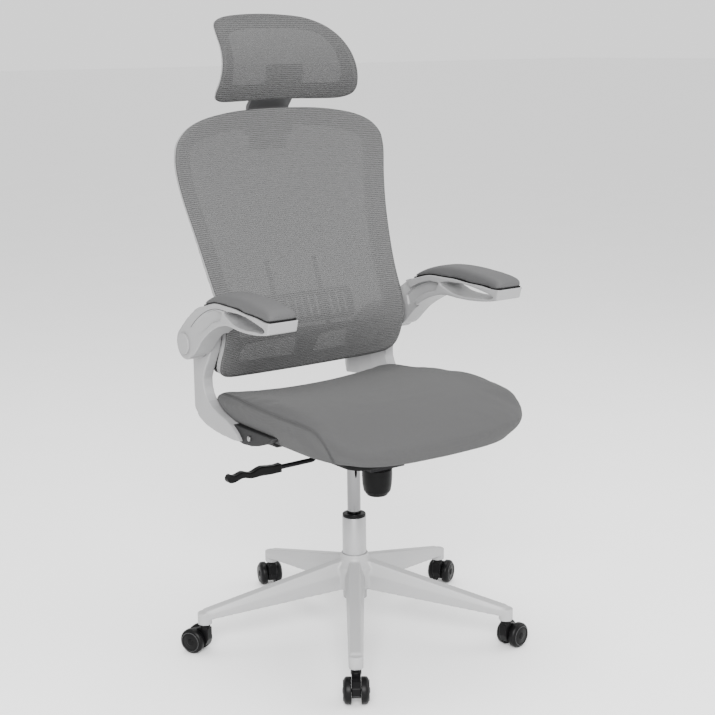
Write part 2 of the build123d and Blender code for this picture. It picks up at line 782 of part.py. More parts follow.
def lower_windows():
    """The two see-through windows under the crossbar, either side of a short spine."""
    with BuildPart() as windows:
        for sign in (1, -1):
            corners = [
                (sign * SPINE_HALF_WIDTH, 572), (sign * 175, 580), (sign * 180, 600),
                (sign * 168, CROSSBAR_Z - 10), (sign * (SPINE_HALF_WIDTH + 6), CROSSBAR_Z - 12),
            ]
            with BuildSketch(Plane.XZ):
                with BuildLine():
                    Polyline(*corners, close=True)
                make_face()
            extrude(amount=-600)
        fillet(windows.edges().filter_by(Axis.Y), 8)
    return windows.part


# ---------------------------------------------------------------- side brackets
leg_side = [
    (46, 448), (68, 446), (106, 447), (140, 450), (175, 456), (202, 467), (222, 483), (245, 485),
    (275, 490), (286, 520), (284, 560), (268, 600), (245, 636), (216, 655), (186, 663), (150, 664),
    (138, 654), (140, 634), (148, 612), (159, 592), (173, 571), (181, 552), (180, 534), (174, 520),
    (164, 508), (150, 499), (130, 491), (100, 483), (78, 474), (60, 462),
]
leg_plan = [
    (LEG_INNER, 0), (LEG_OUTER, 0), (LEG_OUTER, 200), (243, 222), (232, 242), (212, 264),
    (184, 282), (WING_INNER, 268), (200, 250), (216, 226), (LEG_INNER, 204),
]
frame_seat_plan = [(LEG_INNER + 2, 186), (198, 186), (198, 220), (214, 222), (LEG_INNER + 2, 205)]
flange_side = [
    (112, 476), (112, 449), (45, 442), (15, 444), (-12, 450), (-42, 461), (-62, 476),
]
back_depth = MESH_THICKNESS + CARRIER_THICKNESS + SHELL_THICKNESS
back_space = back_layer(-60, back_depth + APART, back_half)
for side, sign in SIDES:
    with BuildPart() as side_bracket:
        add(side_prism(leg_side, sign * (WING_INNER - 5), sign * (LEG_OUTER + 5)))
        add(plan_prism([(sign * x, y) for x, y in leg_plan], 440, 700), mode=Mode.INTERSECT)
        add(plan_prism([(sign * x, y) for x, y in frame_seat_plan], *FRAME_SEAT_Z))
        add(back_space, mode=Mode.SUBTRACT)
        add(
            rod_along("x", (0, BOSS_Y, BOSS_Z), ARM_PIN_RADIUS, -400, 400), mode=Mode.SUBTRACT
        )
    side_bracket.part.label = f"side_bracket_{side}"
    export_step(side_bracket.part, f"parts/side_bracket_{side}.step")

    with BuildPart() as seat_flange:
        add(side_prism(flange_side, sign * FLANGE_INNER, sign * FLANGE_OUTER))
        add(
            block(
                sorted((sign * pan_half, sign * FLANGE_INNER)),
                (-42, 108),
                (SEAT_BOTTOM - FLANGE_PLATE, SEAT_BOTTOM),
            )
        )
        add(side_bracket.part, mode=Mode.SUBTRACT)
    seat_flange.part.label = f"seat_flange_{side}"
    export_step(seat_flange.part, f"parts/seat_flange_{side}.step")

with BuildPart() as bracket_screws:
    for _, sign in SIDES:
        add(
            rod_along(
                "x", (0, 20, 459), 5.5, *sorted((sign * FLANGE_OUTER, sign * (FLANGE_OUTER + 3)))
            )
        )
        with Locations(
            *[(sign * (pan_half + 16), y, SEAT_BOTTOM - FLANGE_PLATE) for y in (-20, 70)]
        ):
            Cylinder(5, 3, align=(Align.CENTER, Align.CENTER, Align.MAX))
bracket_screws.part.label = "bracket_screws"
export_step(bracket_screws.part, "parts/bracket_screws.step")


# ---------------------------------------------------------------- armrests
arm_top = [
    (ARM_NOSE_Y, 727), (-154, 726), (-117, 729), (-76, 730), (-38, 733), (13, 733), (47, 732),
    (77, 725), (103, 718),
]
arm_rear = [(124, 712), (151, 697), (181, 677), (201, 660), (210, 651)]
arm_bottom = [
    (165, 606), (143, 615), (126, 630), (108, 647), (73, 670), (47, 683), (18, 692.5), (-5, 696),
    (-32, 695), (-66, 694), (-105, 695.5), (-140, 699.5), (-164, 704),
]
loop_outline = [
    (8, 720), (-7, 724), (-40, 726), (-79, 725), (-119, 719), (-145, 714), (-154, 710), (-148, 706),
    (-125, 703), (-90, 700.5), (-54, 700.5), (-26, 704), (-6, 711),
]
pocket_outline = [
    (14, 719), (44, 720), (75, 712), (107, 698), (134, 677), (128, 656), (100, 668), (60, 692),
    (25, 702),
]
pad_over = [
    (ARM_NOSE_Y, 736), (-158, 745), (-117, 753), (-52, 758), (8, 755), (58, 743), (90, 728),
    (103, 721),
]


def armrest_side():
    """The armrest's side view: a long beam that drops at the rear into its pivot boss."""
    with BuildSketch(Plane.YZ) as outline:
        with BuildLine():
            top = Spline(*arm_top)
            rear = Spline(arm_top[-1], *arm_rear)
            under = Spline(*arm_bottom)
            Line(rear @ 1, under @ 0)
            Line(under @ 1, top @ 0)
        make_face()
        with Locations((BOSS_Y, BOSS_Z)):
            Circle(BOSS_RADIUS)
    return outline.sketch.faces()[0]


def arm_plan(sign, margin=0.0):
    """The armrest's outline from above: its outer face runs outward from the boss to the nose."""
    corners = [
        (BOSS_OUTER - margin, BOSS_Y + BOSS_RADIUS + 5), (BOSS_OUTER - margin, BOSS_Y),
        (ARM_NOSE_OUTER - margin, ARM_NOSE_Y - 5), (ARM_NOSE_INNER + margin, ARM_NOSE_Y - 5),
        (ARM_REAR_INNER + margin, 107), (ARM_REAR_INNER + margin, BOSS_Y + BOSS_RADIUS + 5),
    ]
    return [(sign * x, y) for x, y in corners]


for side, sign in SIDES:
    with BuildPart() as armrest:
        extrude(armrest_side().moved(Location((-400, 0, 0))), amount=800, dir=(1, 0, 0))
        add(plan_prism(arm_plan(sign), 500, 800), mode=Mode.INTERSECT)
        add(
            rod_along(
                "x", (0, BOSS_Y, BOSS_Z), ARM_SWING_CLEARANCE, *sorted((0, sign * BOSS_INNER))
            ),
            mode=Mode.SUBTRACT,
        )
        add(smooth_side_prism(loop_outline, -400, 400), mode=Mode.SUBTRACT)
        for floor, opening in ((WEB_OUTER, ARM_NOSE_OUTER + 5), (WEB_INNER, ARM_REAR_INNER - 5)):
            add(side_prism(pocket_outline, sign * floor, sign * opening), mode=Mode.SUBTRACT)
        add(
            rod_along(
                "x", (0, BOSS_Y, BOSS_Z), CAP_RADIUS,
                *sorted((sign * BOSS_OUTER, sign * (BOSS_OUTER + 10)))
            ),
            mode=Mode.SUBTRACT,
        )
        add(
            rod_along("x", (0, BOSS_Y, BOSS_Z), ARM_PIN_RADIUS + RUNNING, -400, 400),
            mode=Mode.SUBTRACT,
        )
    armrest.part.label = f"armrest_{side}"
    export_step(armrest.part, f"parts/armrest_{side}.step")

    with BuildPart() as arm_pin:
        add(
            rod_along(
                "x", (0, BOSS_Y, BOSS_Z), ARM_PIN_RADIUS,
                *sorted((sign * (LEG_INNER - 2), sign * (BOSS_OUTER - APART)))
            )
        )
    arm_pin.part.label = f"arm_pin_{side}"
    export_step(arm_pin.part, f"parts/arm_pin_{side}.step")

    with BuildPart() as pivot_cap:
        add(
            rod_along(
                "x", (0, BOSS_Y, BOSS_Z), CAP_RADIUS,
                *sorted((sign * BOSS_OUTER, sign * (BOSS_OUTER + CAP_THICKNESS)))
            )
        )
        face = pivot_cap.faces().sort_by(Axis.X)[-1 if sign > 0 else 0]
        fillet(face.edges(), 2)
    pivot_cap.part.label = f"pivot_cap_{side}"
    export_step(pivot_cap.part, f"parts/pivot_cap_{side}.step")

    with BuildPart() as arm_pad:
        with BuildSketch(Plane.YZ.offset(-400)):
            with BuildLine():
                under = Spline(*arm_top)
                over = Spline(*pad_over)
                Line(under @ 0, over @ 0)
                Line(under @ 1, over @ 1)
            make_face()
        extrude(amount=800)
        add(plan_prism(arm_plan(sign, 1), 500, 800), mode=Mode.INTERSECT)
    arm_pad.part.label = f"arm_pad_{side}"
    export_step(arm_pad.part, f"parts/arm_pad_{side}.step")


# ---------------------------------------------------------------- back pieces
lean = radians(LUMBAR_LEAN)
lumbar_plane = Plane(LUMBAR_CENTRE, x_dir=(1, 0, 0), z_dir=(0, -cos(lean), sin(lean)))
rail_height = 160.0

with BuildPart() as lumbar_rails:
    with BuildSketch(lumbar_plane.offset(-LUMBAR_THICKNESS - 4)):
        with Locations((-RAIL_X, 28), (RAIL_X, 28)):
            Rectangle(10, rail_height)
    extrude(amount=-5)
lumbar_rails.part.label = "lumbar_rails"
export_step(lumbar_rails.part, "parts/lumbar_rails.step")

with BuildPart() as lumbar_pad:
    with BuildSketch(lumbar_plane):
        RectangleRounded(2 * LUMBAR_HALF_WIDTH, LUMBAR_HEIGHT, 16)
        with GridLocations(SLOT_PITCH, 0, SLOT_COUNT, 1):
            SlotOverall(LUMBAR_HEIGHT - 22, SLOT_WIDTH, rotation=90, mode=Mode.SUBTRACT)
    extrude(amount=-LUMBAR_THICKNESS)
    with BuildSketch(lumbar_plane.offset(-LUMBAR_THICKNESS)):
        with Locations((-RAIL_X, 0), (RAIL_X, 0)):
            Rectangle(22, 40)
    extrude(amount=-12)
    with BuildSketch(lumbar_plane.offset(-LUMBAR_THICKNESS - 4 + APART)):
        with Locations((-RAIL_X, 0), (RAIL_X, 0)):
            Rectangle(10 + 2 * APART, 80)
    extrude(amount=-5 - 2 * APART, mode=Mode.SUBTRACT)
lumbar_pad.part.label = "lumbar_pad"
export_step(lumbar_pad.part, "parts/lumbar_pad.step")

carrier_rear = MESH_THICKNESS + CARRIER_THICKNESS

with BuildPart() as back_mesh:
    add(back_layer(0, MESH_THICKNESS, back_half))
back_mesh.part.label = "back_mesh"
export_step(back_mesh.part, "parts/back_mesh.step")

with BuildPart() as mesh_carrier:
    add(back_layer(MESH_THICKNESS, carrier_rear, inset(back_half, 2)))
    add(opening_prism(back_half, BORDER, CROSSBAR_Z + 4), mode=Mode.SUBTRACT)
    add(lower_windows(), mode=Mode.SUBTRACT)
mesh_carrier.part.label = "mesh_carrier"
export_step(mesh_carrier.part, "parts/mesh_carrier.step")

with BuildPart() as back_frame:
    add(back_layer(carrier_rear, back_depth, frame_half))
    add(opening_prism(back_half, BORDER, CROSSBAR_Z + 4), mode=Mode.SUBTRACT)
    add(lower_windows(), mode=Mode.SUBTRACT)
    add(lumbar_rails.part, mode=Mode.SUBTRACT)
back_frame.part.label = "back_frame"
export_step(back_frame.part, "parts/back_frame.step")

guide_front = 262.0
post_rear = POST_FRONT + POST_THICKNESS
with BuildPart() as headrest_guide:
    add(
        block(
            (-POST_HALF_WIDTH - GUIDE_WALL, POST_HALF_WIDTH + GUIDE_WALL),
            (guide_front, post_rear + GUIDE_WALL),
            (GUIDE_BOTTOM, GUIDE_TOP),
        )
    )
    add(
        block(
            (-POST_HALF_WIDTH - APART, POST_HALF_WIDTH + APART),
            (POST_FRONT - APART, post_rear + APART),
            (GUIDE_BOTTOM - 10, GUIDE_TOP + 10),
        ),
        mode=Mode.SUBTRACT,
    )
    add(back_layer(-60, back_depth, frame_half), mode=Mode.SUBTRACT)
headrest_guide.part.label = "headrest_guide"
export_step(headrest_guide.part, "parts/headrest_guide.step")


# ---------------------------------------------------------------- headrest
with BuildPart() as headrest_post:
    add(
        block(
            (-POST_HALF_WIDTH, POST_HALF_WIDTH), (POST_FRONT, post_rear), (POST_BOTTOM, 1084)
        )
    )
    add(
        side_prism(
            [
                (POST_FRONT, 1082), (POST_FRONT - 2, 1088), (274, 1106), (281, 1111),
                (post_rear - 1, 1092), (post_rear, 1082),
            ],
            -52,
            52,
        )
    )
    add(
        side_prism(
            [(274, 1106), (262, 1122), (262, 1137), (270, 1134), (281, 1111)],
            -KNUCKLE_HALF_WIDTH,
            KNUCKLE_HALF_WIDTH,
        )
    )
    add(
        rod_along(
            "x", (0, HEAD_HINGE_Y, HEAD_HINGE_Z), HINGE_RADIUS, -KNUCKLE_HALF_WIDTH, KNUCKLE_HALF_WIDTH
        )
    )
    add(
        rod_along("x", (0, HEAD_HINGE_Y, HEAD_HINGE_Z), HINGE_PIN_RADIUS + RUNNING, -60, 60),
        mode=Mode.SUBTRACT,
    )
headrest_post.part.label = "headrest_post"
export_step(headrest_post.part, "parts/headrest_post.step")

with BuildPart() as headrest_pin:
    add(
        rod_along("x", (0, HEAD_HINGE_Y, HEAD_HINGE_Z), HINGE_PIN_RADIUS, -LUG_OUTER, LUG_OUTER)
    )
headrest_pin.part.label = "headrest_pin"
export_step(headrest_pin.part, "parts/headrest_pin.step")

head_profile = [
    (258, 1102), (241, 1118), (225, 1145), (221, 1172), (229, 1200), (249, 1226), (280, 1251),
    (302, 1266), (318, 1284),
]


head_half = [
    (0, 1106), (50, 1105.5), (100, 1104.5), (145, 1105), (167, 1111), (173, 1124), (170, 1145),
    (164, 1175), (157, 1208), (148, 1238), (132, 1260), (102, 1273), (55, 1279), (0, 1281),
]


def head_layer(front, rear, shrink=0.0):
    """One layer of the headrest between two offsets behind its front face."""
    with BuildPart() as layer:
        add(bent_sheet(head_profile, HEAD_BEND_CENTRE, front, rear))
        add(outline_prism(inset(head_half, shrink)), mode=Mode.INTERSECT)
    return layer.part


with BuildPart() as headrest_mesh:
    add(head_layer(0, MESH_THICKNESS))
headrest_mesh.part.label = "headrest_mesh"
export_step(headrest_mesh.part, "parts/headrest_mesh.step")

head_shell = 10.0
with BuildPart() as head_window:
    add(opening_prism(head_half, HEAD_BORDER, 1138))
    add(block((-LUG_OUTER - 4, LUG_OUTER + 4), (-10, 700), (1000, 1178)), mode=Mode.SUBTRACT)

with BuildPart() as headrest_frame:
    add(head_layer(MESH_THICKNESS, head_shell, 1))
    add(head_window.part, mode=Mode.SUBTRACT)
    for sign in (1, -1):
        low, high = sorted((sign * (KNUCKLE_HALF_WIDTH + APART), sign * LUG_OUTER))
        with BuildPart() as lug:
            add(block((low, high), (226, HEAD_HINGE_Y), (HEAD_HINGE_Z - 8, HEAD_HINGE_Z + 8)))
            add(head_layer(-40, head_shell - 3), mode=Mode.SUBTRACT)
        add(lug.part)
        add(rod_along("x", (0, HEAD_HINGE_Y, HEAD_HINGE_Z), HINGE_RADIUS, low, high))
        add(headrest_pin.part, mode=Mode.SUBTRACT)
headrest_frame.part.label = "headrest_frame"
export_step(headrest_frame.part, "parts/headrest_frame.step")
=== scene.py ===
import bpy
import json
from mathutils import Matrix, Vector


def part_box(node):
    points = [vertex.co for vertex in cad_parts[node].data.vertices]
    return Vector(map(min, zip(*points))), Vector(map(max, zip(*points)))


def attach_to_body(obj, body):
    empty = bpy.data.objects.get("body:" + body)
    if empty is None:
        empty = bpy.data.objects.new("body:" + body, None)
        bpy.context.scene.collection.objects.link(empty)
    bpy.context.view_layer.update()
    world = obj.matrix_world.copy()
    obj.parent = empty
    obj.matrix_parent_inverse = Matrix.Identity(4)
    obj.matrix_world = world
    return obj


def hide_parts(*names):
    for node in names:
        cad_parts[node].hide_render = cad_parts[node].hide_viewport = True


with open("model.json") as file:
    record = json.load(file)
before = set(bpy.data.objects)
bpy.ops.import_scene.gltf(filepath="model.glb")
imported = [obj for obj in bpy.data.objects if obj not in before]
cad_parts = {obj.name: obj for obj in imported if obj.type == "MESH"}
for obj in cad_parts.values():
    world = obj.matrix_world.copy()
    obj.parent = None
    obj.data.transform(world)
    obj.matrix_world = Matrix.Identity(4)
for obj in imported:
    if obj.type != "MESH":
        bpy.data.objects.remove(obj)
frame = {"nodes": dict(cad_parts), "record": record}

"""Swivel chair with a mesh back, finished for rendering over its CAD frame.

Everything is in metres in the CAD frame: the floor is Z = 0, the column is on the Z axis, the
sitter faces -Y and the sitter's left hand is at +X.
"""

import json
import logging
import math
from dataclasses import dataclass, field
from enum import Enum

import bmesh
import bpy
from mathutils import Euler, Vector
from mathutils.bvhtree import BVHTree

log = logging.getLogger("chair")
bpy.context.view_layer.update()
BODY_OF = {
    node: body
    for body, nodes in frame["record"]["behaviour"]["bodies"].items()
    for node in nodes
}
Point = tuple[float, float, float]
Outline = list[tuple[float, float]]
WAVE_PERIOD = math.pi / 10.0  # metres between the bands of a wave texture at scale 1
MERGE = 1e-5  # corners of a new piece closer than this become one
CAD_MERGE = 2e-6  # the same for a CAD node's mesh
NEARLY_FLAT = math.radians(0.5)  # faces that lie this close to one plane are merged
SIDE_STEPS = 8  # new points for each run of a side-view line


class Side(Enum):
    """The sitter's left or right hand, with the sign of X on that side."""

    LEFT = 1
    RIGHT = -1

    @property
    def word(self) -> str:
        """The side's name as the CAD nodes spell it."""
        return self.name.lower()


class Slot(Enum):
    """Material slots of the record that the pieces take their finish from."""

    BASE_WHITE = "base_white"
    FRAME_WHITE = "frame_white"
    BLACK_PLASTIC = "black_plastic"
    GREY_PLASTIC = "grey_plastic"
    WHEEL_BLACK = "wheel_black"
    SILVER_TUBE = "silver_tube"
    CHROME = "chrome"
    BRIGHT_STEEL = "bright_steel"
    BLACK_STEEL = "black_steel"
    GREY_STEEL = "grey_steel"
    SEAT_FABRIC = "seat_fabric"
    MESH_FABRIC = "mesh_fabric"
    PAD_FABRIC = "pad_fabric"


# ---------------------------------------------------------------- node building
class Shader:
    """A material under construction, with short calls for the nodes that the finishes share."""

    def __init__(self, name: str) -> None:
        """Start an empty material with a Principled shader.

        Args:
            name: The material's name.
        """
        self.material = bpy.data.materials.new(name)
        self.material.use_nodes = True
        self.tree = self.material.node_tree
        self.tree.nodes.clear()
        self.output = self.tree.nodes.new("ShaderNodeOutputMaterial")
        self.surface = self.tree.nodes.new("ShaderNodeBsdfPrincipled")
        self.link(self.surface.outputs["BSDF"], self.output.inputs["Surface"])
        self.coords = self.tree.nodes.new("ShaderNodeTexCoord")

    def link(self, source: bpy.types.NodeSocket, target: bpy.types.NodeSocket) -> None:
        """Join two sockets."""
        self.tree.links.new(source, target)

    def set(self, **values: float | tuple[float, ...]) -> None:
        """Set the Principled shader's own sockets; underscores stand for spaces."""
        for key, value in values.items():
            self.surface.inputs[key.replace("_", " ")].default_value = value

    def mapping(self, scale: Point) -> bpy.types.NodeSocket:
        """Stretch the object coordinates.

        Args:
            scale: Factor on each axis.

        Returns:
            The stretched coordinates' socket.
        """
        node = self.tree.nodes.new("ShaderNodeMapping")
        node.inputs["Scale"].default_value = scale
        self.link(self.coords.outputs["Object"], node.inputs["Vector"])
        return node.outputs["Vector"]

    def noise(
        self, scale: float, detail: float = 3.0, stretch: Point = (1, 1, 1)
    ) -> bpy.types.NodeSocket:
        """A noise value over the object.

        Args:
            scale: Noise cells per metre.
            detail: Octaves of finer noise.
            stretch: Extra scale on each axis.

        Returns:
            The noise's value socket.
        """
        node = self.tree.nodes.new("ShaderNodeTexNoise")
        node.inputs["Scale"].default_value = scale
        node.inputs["Detail"].default_value = detail
        self.link(self.mapping(stretch), node.inputs["Vector"])
        return node.outputs["Fac"]

    def bands(
        self, axis: str, pitch: float, wobble: float, wobble_scale: float
    ) -> bpy.types.NodeSocket:
        """Soft bands across one object axis.

        Args:
            axis: X, Y or Z, the axis that the bands repeat along.
            pitch: Metres from one band to the next.
            wobble: How much noise bends the bands.
            wobble_scale: Scale of that noise.

        Returns:
            The bands' value socket.
        """
        node = self.tree.nodes.new("ShaderNodeTexWave")
        node.wave_type = "BANDS"
        node.bands_direction = axis
        node.wave_profile = "SIN"
        node.inputs["Scale"].default_value = WAVE_PERIOD / pitch
        node.inputs["Distortion"].default_value = wobble
        node.inputs["Detail"].default_value = 1.0
        node.inputs["Detail Scale"].default_value = wobble_scale
        self.link(self.coords.outputs["Object"], node.inputs["Vector"])
        return node.outputs["Fac"]

    def blend(self, factor: bpy.types.NodeSocket, low: float, high: float) -> bpy.types.NodeSocket:
        """Map a 0 to 1 value onto another range.

        Args:
            factor: The value's socket.
            low: The result at 0.
            high: The result at 1.

        Returns:
            The result's socket.
        """
        node = self.tree.nodes.new("ShaderNodeMapRange")
        node.inputs["To Min"].default_value = low
        node.inputs["To Max"].default_value = high
        self.link(factor, node.inputs["Value"])
        return node.outputs["Result"]

    def multiply(self, one: bpy.types.NodeSocket, other: bpy.types.NodeSocket) -> bpy.types.NodeSocket:
        """Multiply two values.

        Args:
            one: A value's socket.
            other: The other's.

        Returns:
            The product's socket.
        """
        node = self.tree.nodes.new("ShaderNodeMath")
        node.operation = "MULTIPLY"
        self.link(one, node.inputs[0])
        self.link(other, node.inputs[1])
        return node.outputs["Value"]

    def tint(self, factor: bpy.types.NodeSocket, dark: Point, light: Point) -> None:
        """Run the base colour between two colours.

        Args:
            factor: A 0 to 1 value.
            dark: Linear colour at 0.
            light: Linear colour at 1.
        """
        node = self.tree.nodes.new("ShaderNodeValToRGB")
        node.color_ramp.elements[0].color = (*dark, 1)
        node.color_ramp.elements[1].color = (*light, 1)
        self.link(factor, node.inputs["Fac"])
        self.link(node.outputs["Color"], self.surface.inputs["Base Color"])

    def bump(self, height: bpy.types.NodeSocket, strength: float, distance: float) -> None:
        """Raise the surface by a height value.

        Args:
            height: A 0 to 1 value.
            strength: 0 to 1.
            distance: Height in metres at 1.
        """
        node = self.tree.nodes.new("ShaderNodeBump")
        node.inputs["Strength"].default_value = strength
        node.inputs["Distance"].default_value = distance
        self.link(height, node.inputs["Height"])
        self.link(node.outputs["Normal"], self.surface.inputs["Normal"])


def shade(colour: Point, amount: float) -> Point:
    """Make a colour lighter or darker by a factor."""
    return tuple(min(1.0, c * amount) for c in colour)


@dataclass(frozen=True)
class MouldedPlastic:
    """Moulded plastic with a faint grain and a little colour and gloss variation."""

    name: str
    slot: Slot
    colour: Point
    roughness: float = 0.42
    grain: float = 1800.0
    grain_height: float = 0.00006
    shine: float = 0.5
    blotches: float = 9.0
    shades: tuple[float, float] = (0.94, 1.04)
    gloss_blotches: float = 30.0
    gloss_range: tuple[float, float] = (-0.05, 0.06)
    grain_strength: float = 0.35

    def build(self) -> bpy.types.Material:
        """Build the finish as a node material.

        Returns:
            The material.
        """
        s = Shader(self.name)
        s.tint(s.noise(self.blotches), *(shade(self.colour, amount) for amount in self.shades))
        s.set(Specular_IOR_Level=self.shine)
        low, high = (self.roughness + step for step in self.gloss_range)
        s.link(s.blend(s.noise(self.gloss_blotches), low, high), s.surface.inputs["Roughness"])
        s.bump(s.noise(self.grain, 2.0), self.grain_strength, self.grain_height)
        return s.material


@dataclass(frozen=True)
class Metal:
    """Plated, painted or bare metal with fine brushing."""

    name: str
    slot: Slot
    colour: Point
    roughness: float
    metallic: float = 1.0
    brushing: Point = (900.0, 900.0, 40.0)
    brush_height: float = 0.00001
    shine: float = 0.5
    clouds: float = 14.0
    shades: tuple[float, float] = (0.95, 1.03)
    gloss_range: tuple[float, float] = (0.8, 1.25)
    brush_strength: float = 0.3

    def build(self) -> bpy.types.Material:
        """Build the finish as a node material.

        Returns:
            The material.
        """
        s = Shader(self.name)
        s.tint(s.noise(self.clouds), *(shade(self.colour, amount) for amount in self.shades))
        s.set(Metallic=self.metallic, Specular_IOR_Level=self.shine)
        low, high = (self.roughness * share for share in self.gloss_range)
        s.link(s.blend(s.noise(1.0, 2.0, self.brushing), low, high), s.surface.inputs["Roughness"])
        s.bump(s.noise(1.0, 2.0, self.brushing), self.brush_strength, self.brush_height)
        return s.material


@dataclass(frozen=True)
class WovenFabric:
    """Close upholstery cloth: a fine two-way weave, slubs and a soft sheen."""

    name: str
    slot: Slot
    colour: Point
    pitch: float = 0.0013
    height: float = 0.00035
    contrast: float = 0.10
    bend: float = 0.6
    bend_scale: float = 3.0
    slub_cells: float = 260.0
    slub_lift: tuple[float, float] = (0.7, 1.3)
    shade_range: tuple[float, float] = (0.15, 0.95)

    def build(self) -> bpy.types.Material:
        """Build the finish as a node material.

        Returns:
            The material.
        """
        s = Shader(self.name)
        weave = s.multiply(
            *(s.bands(axis, self.pitch, self.bend, self.bend_scale) for axis in "XY")
        )
        slubs = s.multiply(s.noise(self.slub_cells), s.blend(weave, *self.slub_lift))
        s.tint(
            s.blend(slubs, *self.shade_range),
            shade(self.colour, 1 - self.contrast),
            shade(self.colour, 1 + self.contrast),
        )
        s.set(Roughness=0.92, Sheen_Weight=0.05, Sheen_Roughness=0.45, Specular_IOR_Level=0.2)
        s.bump(weave, 0.5, self.height)
        return s.material


@dataclass(frozen=True)
class StretchMesh:
    """Knitted mesh pulled over a frame: level wavy ribs with open rows between them."""

    name: str
    slot: Slot
    colour: Point
    pitch: float = 0.0040
    dash: float = 0.012
    openness: float = 0.25
    height: float = 0.0006
    bend: float = 1.6
    bend_scale: float = 2.2
    dash_rows: float = 2.2
    rib_range: tuple[float, float] = (0.35, 1.0)
    dash_range: tuple[float, float] = (0.6, 1.3)
    shades: tuple[float, float] = (0.70, 1.24)

    def build(self) -> bpy.types.Material:
        """Build the finish as a node material with see-through rows.

        Returns:
            The material.
        """
        s = Shader(self.name)
        ribs = s.bands("Z", self.pitch, self.bend, self.bend_scale)
        dashes = s.noise(1.0, 2.0, (1 / self.dash, 1 / self.dash, self.dash_rows / self.pitch))
        pattern = s.multiply(s.blend(ribs, *self.rib_range), s.blend(dashes, *self.dash_range))
        s.tint(pattern, *(shade(self.colour, amount) for amount in self.shades))
        s.set(Roughness=0.85, Sheen_Weight=0.04, Sheen_Roughness=0.5, Specular_IOR_Level=0.2)
        s.link(s.blend(ribs, 1.0 - self.openness, 1.0), s.surface.inputs["Alpha"])
        s.bump(pattern, 0.6, self.height)
        s.material.surface_render_method = "DITHERED"
        return s.material


FINISHES: dict[str, MouldedPlastic | Metal | WovenFabric | StretchMesh] = {
    "base": MouldedPlastic("white_base_nylon", Slot.BASE_WHITE, (0.315, 0.315, 0.318), 0.36),
    "frame": MouldedPlastic("pale_frame_nylon", Slot.FRAME_WHITE, (0.245, 0.245, 0.248), 0.4),
    "black": MouldedPlastic(
        "black_nylon", Slot.BLACK_PLASTIC, (0.0025, 0.0025, 0.0027), 0.4, shine=0.10
    ),
    "grey": MouldedPlastic(
        "grey_nylon", Slot.GREY_PLASTIC, (0.07, 0.07, 0.072), 0.5, shine=0.3
    ),
    "wheel": MouldedPlastic(
        "wheel_rubber", Slot.WHEEL_BLACK, (0.0035, 0.0035, 0.0037), 0.36, shine=0.12
    ),
    "wheel_rim": MouldedPlastic(
        "wheel_rim_line", Slot.WHEEL_BLACK, (0.03, 0.03, 0.031), 0.36, shine=0.3
    ),
    "silver": Metal("silver_lacquer", Slot.SILVER_TUBE, (0.34, 0.34, 0.345), 0.30, 0.8),
    "chrome": Metal("chrome_plate", Slot.CHROME, (0.19, 0.19, 0.193), 0.08),
    "bright": Metal("zinc_screws", Slot.BRIGHT_STEEL, (0.26, 0.26, 0.26), 0.28),
    "black_steel": Metal(
        "black_powder_coat", Slot.BLACK_STEEL, (0.008, 0.008, 0.009), 0.42, 0.2, shine=0.15
    ),
    "grey_steel": Metal(
        "grey_powder_coat", Slot.GREY_STEEL, (0.017, 0.017, 0.0175), 0.5, 0.2, shine=0.15
    ),
    "seat": WovenFabric("grey_seat_cloth", Slot.SEAT_FABRIC, (0.052, 0.052, 0.0524)),
    "mesh": StretchMesh("grey_stretch_mesh", Slot.MESH_FABRIC, (0.080, 0.080, 0.0805)),
    "head_mesh": StretchMesh(
        "grey_head_mesh", Slot.MESH_FABRIC, (0.056, 0.056, 0.0564), openness=0.30
    ),
    "pad": MouldedPlastic(
        "grey_arm_pad", Slot.PAD_FABRIC, (0.066, 0.066, 0.067), 0.66, 1100.0, 0.00010, 0.25
    ),
    "thread": MouldedPlastic(
        "grey_thread", Slot.SEAT_FABRIC, (0.045, 0.045, 0.0455), 0.8, shine=0.1
    ),
    # painted shade: a dark colour in the pale frame's slot that stands in for the shadow of the groove
    # under each armrest rim
    "shadow_line": MouldedPlastic(
        "arm_joint_line", Slot.FRAME_WHITE, (0.06, 0.06, 0.061), 0.6, shine=0.2
    ),
    "hem": MouldedPlastic(
        "dark_mesh_hem", Slot.MESH_FABRIC, (0.05, 0.05, 0.0505), 0.8, shine=0.1
    ),
}


class Paintbox:
    """Builds each finish once and dresses pieces with it."""

    def __init__(self) -> None:
        """Start with nothing built."""
        self.built: dict[str, bpy.types.Material] = {}

    def get(self, name: str) -> bpy.types.Material:
        """Give the material of a finish, built at its first use.

        Args:
            name: A key of FINISHES.

        Returns:
            The material.
        """
        if name not in self.built:
            self.built[name] = FINISHES[name].build()
        return self.built[name]

    def dress(self, piece: bpy.types.Object, name: str) -> None:
        """Give a piece one finish.

        Args:
            piece: The object to dress.
            name: A key of FINISHES.
        """
        piece.data.materials.clear()
        piece.data.materials.append(self.get(name))


PAINT = Paintbox()


# ---------------------------------------------------------------- mesh building
def add_object(name: str, mesh: bpy.types.Mesh) -> bpy.types.Object:
    """Link a mesh into the scene as an object at the origin.

    Args:
        name: The object's name.
        mesh: Its mesh.

    Returns:
        The new object.
    """
    piece = bpy.data.objects.new(name, mesh)
    bpy.context.scene.collection.objects.link(piece)
    return piece


def from_faces(
    name: str, verts: list[Vector], faces: list[tuple[int, ...]]
) -> bpy.types.Object:
    """Make a piece from its corners, merged, with its faces turned outwards.

    Args:
        name: The piece's name.
        verts: Corners.
        faces: Corner numbers of each face.

    Returns:
        The new object, shaded smooth.
    """
    mesh = bpy.data.meshes.new(name)
    mesh.from_pydata([tuple(v) for v in verts], [], faces)
    bm = bmesh.new()
    bm.from_mesh(mesh)
    bmesh.ops.remove_doubles(bm, verts=bm.verts, dist=MERGE)
    bmesh.ops.recalc_face_normals(bm, faces=bm.faces)
    bm.to_mesh(mesh)
    bm.free()
    mesh.shade_smooth()
    return add_object(name, mesh)


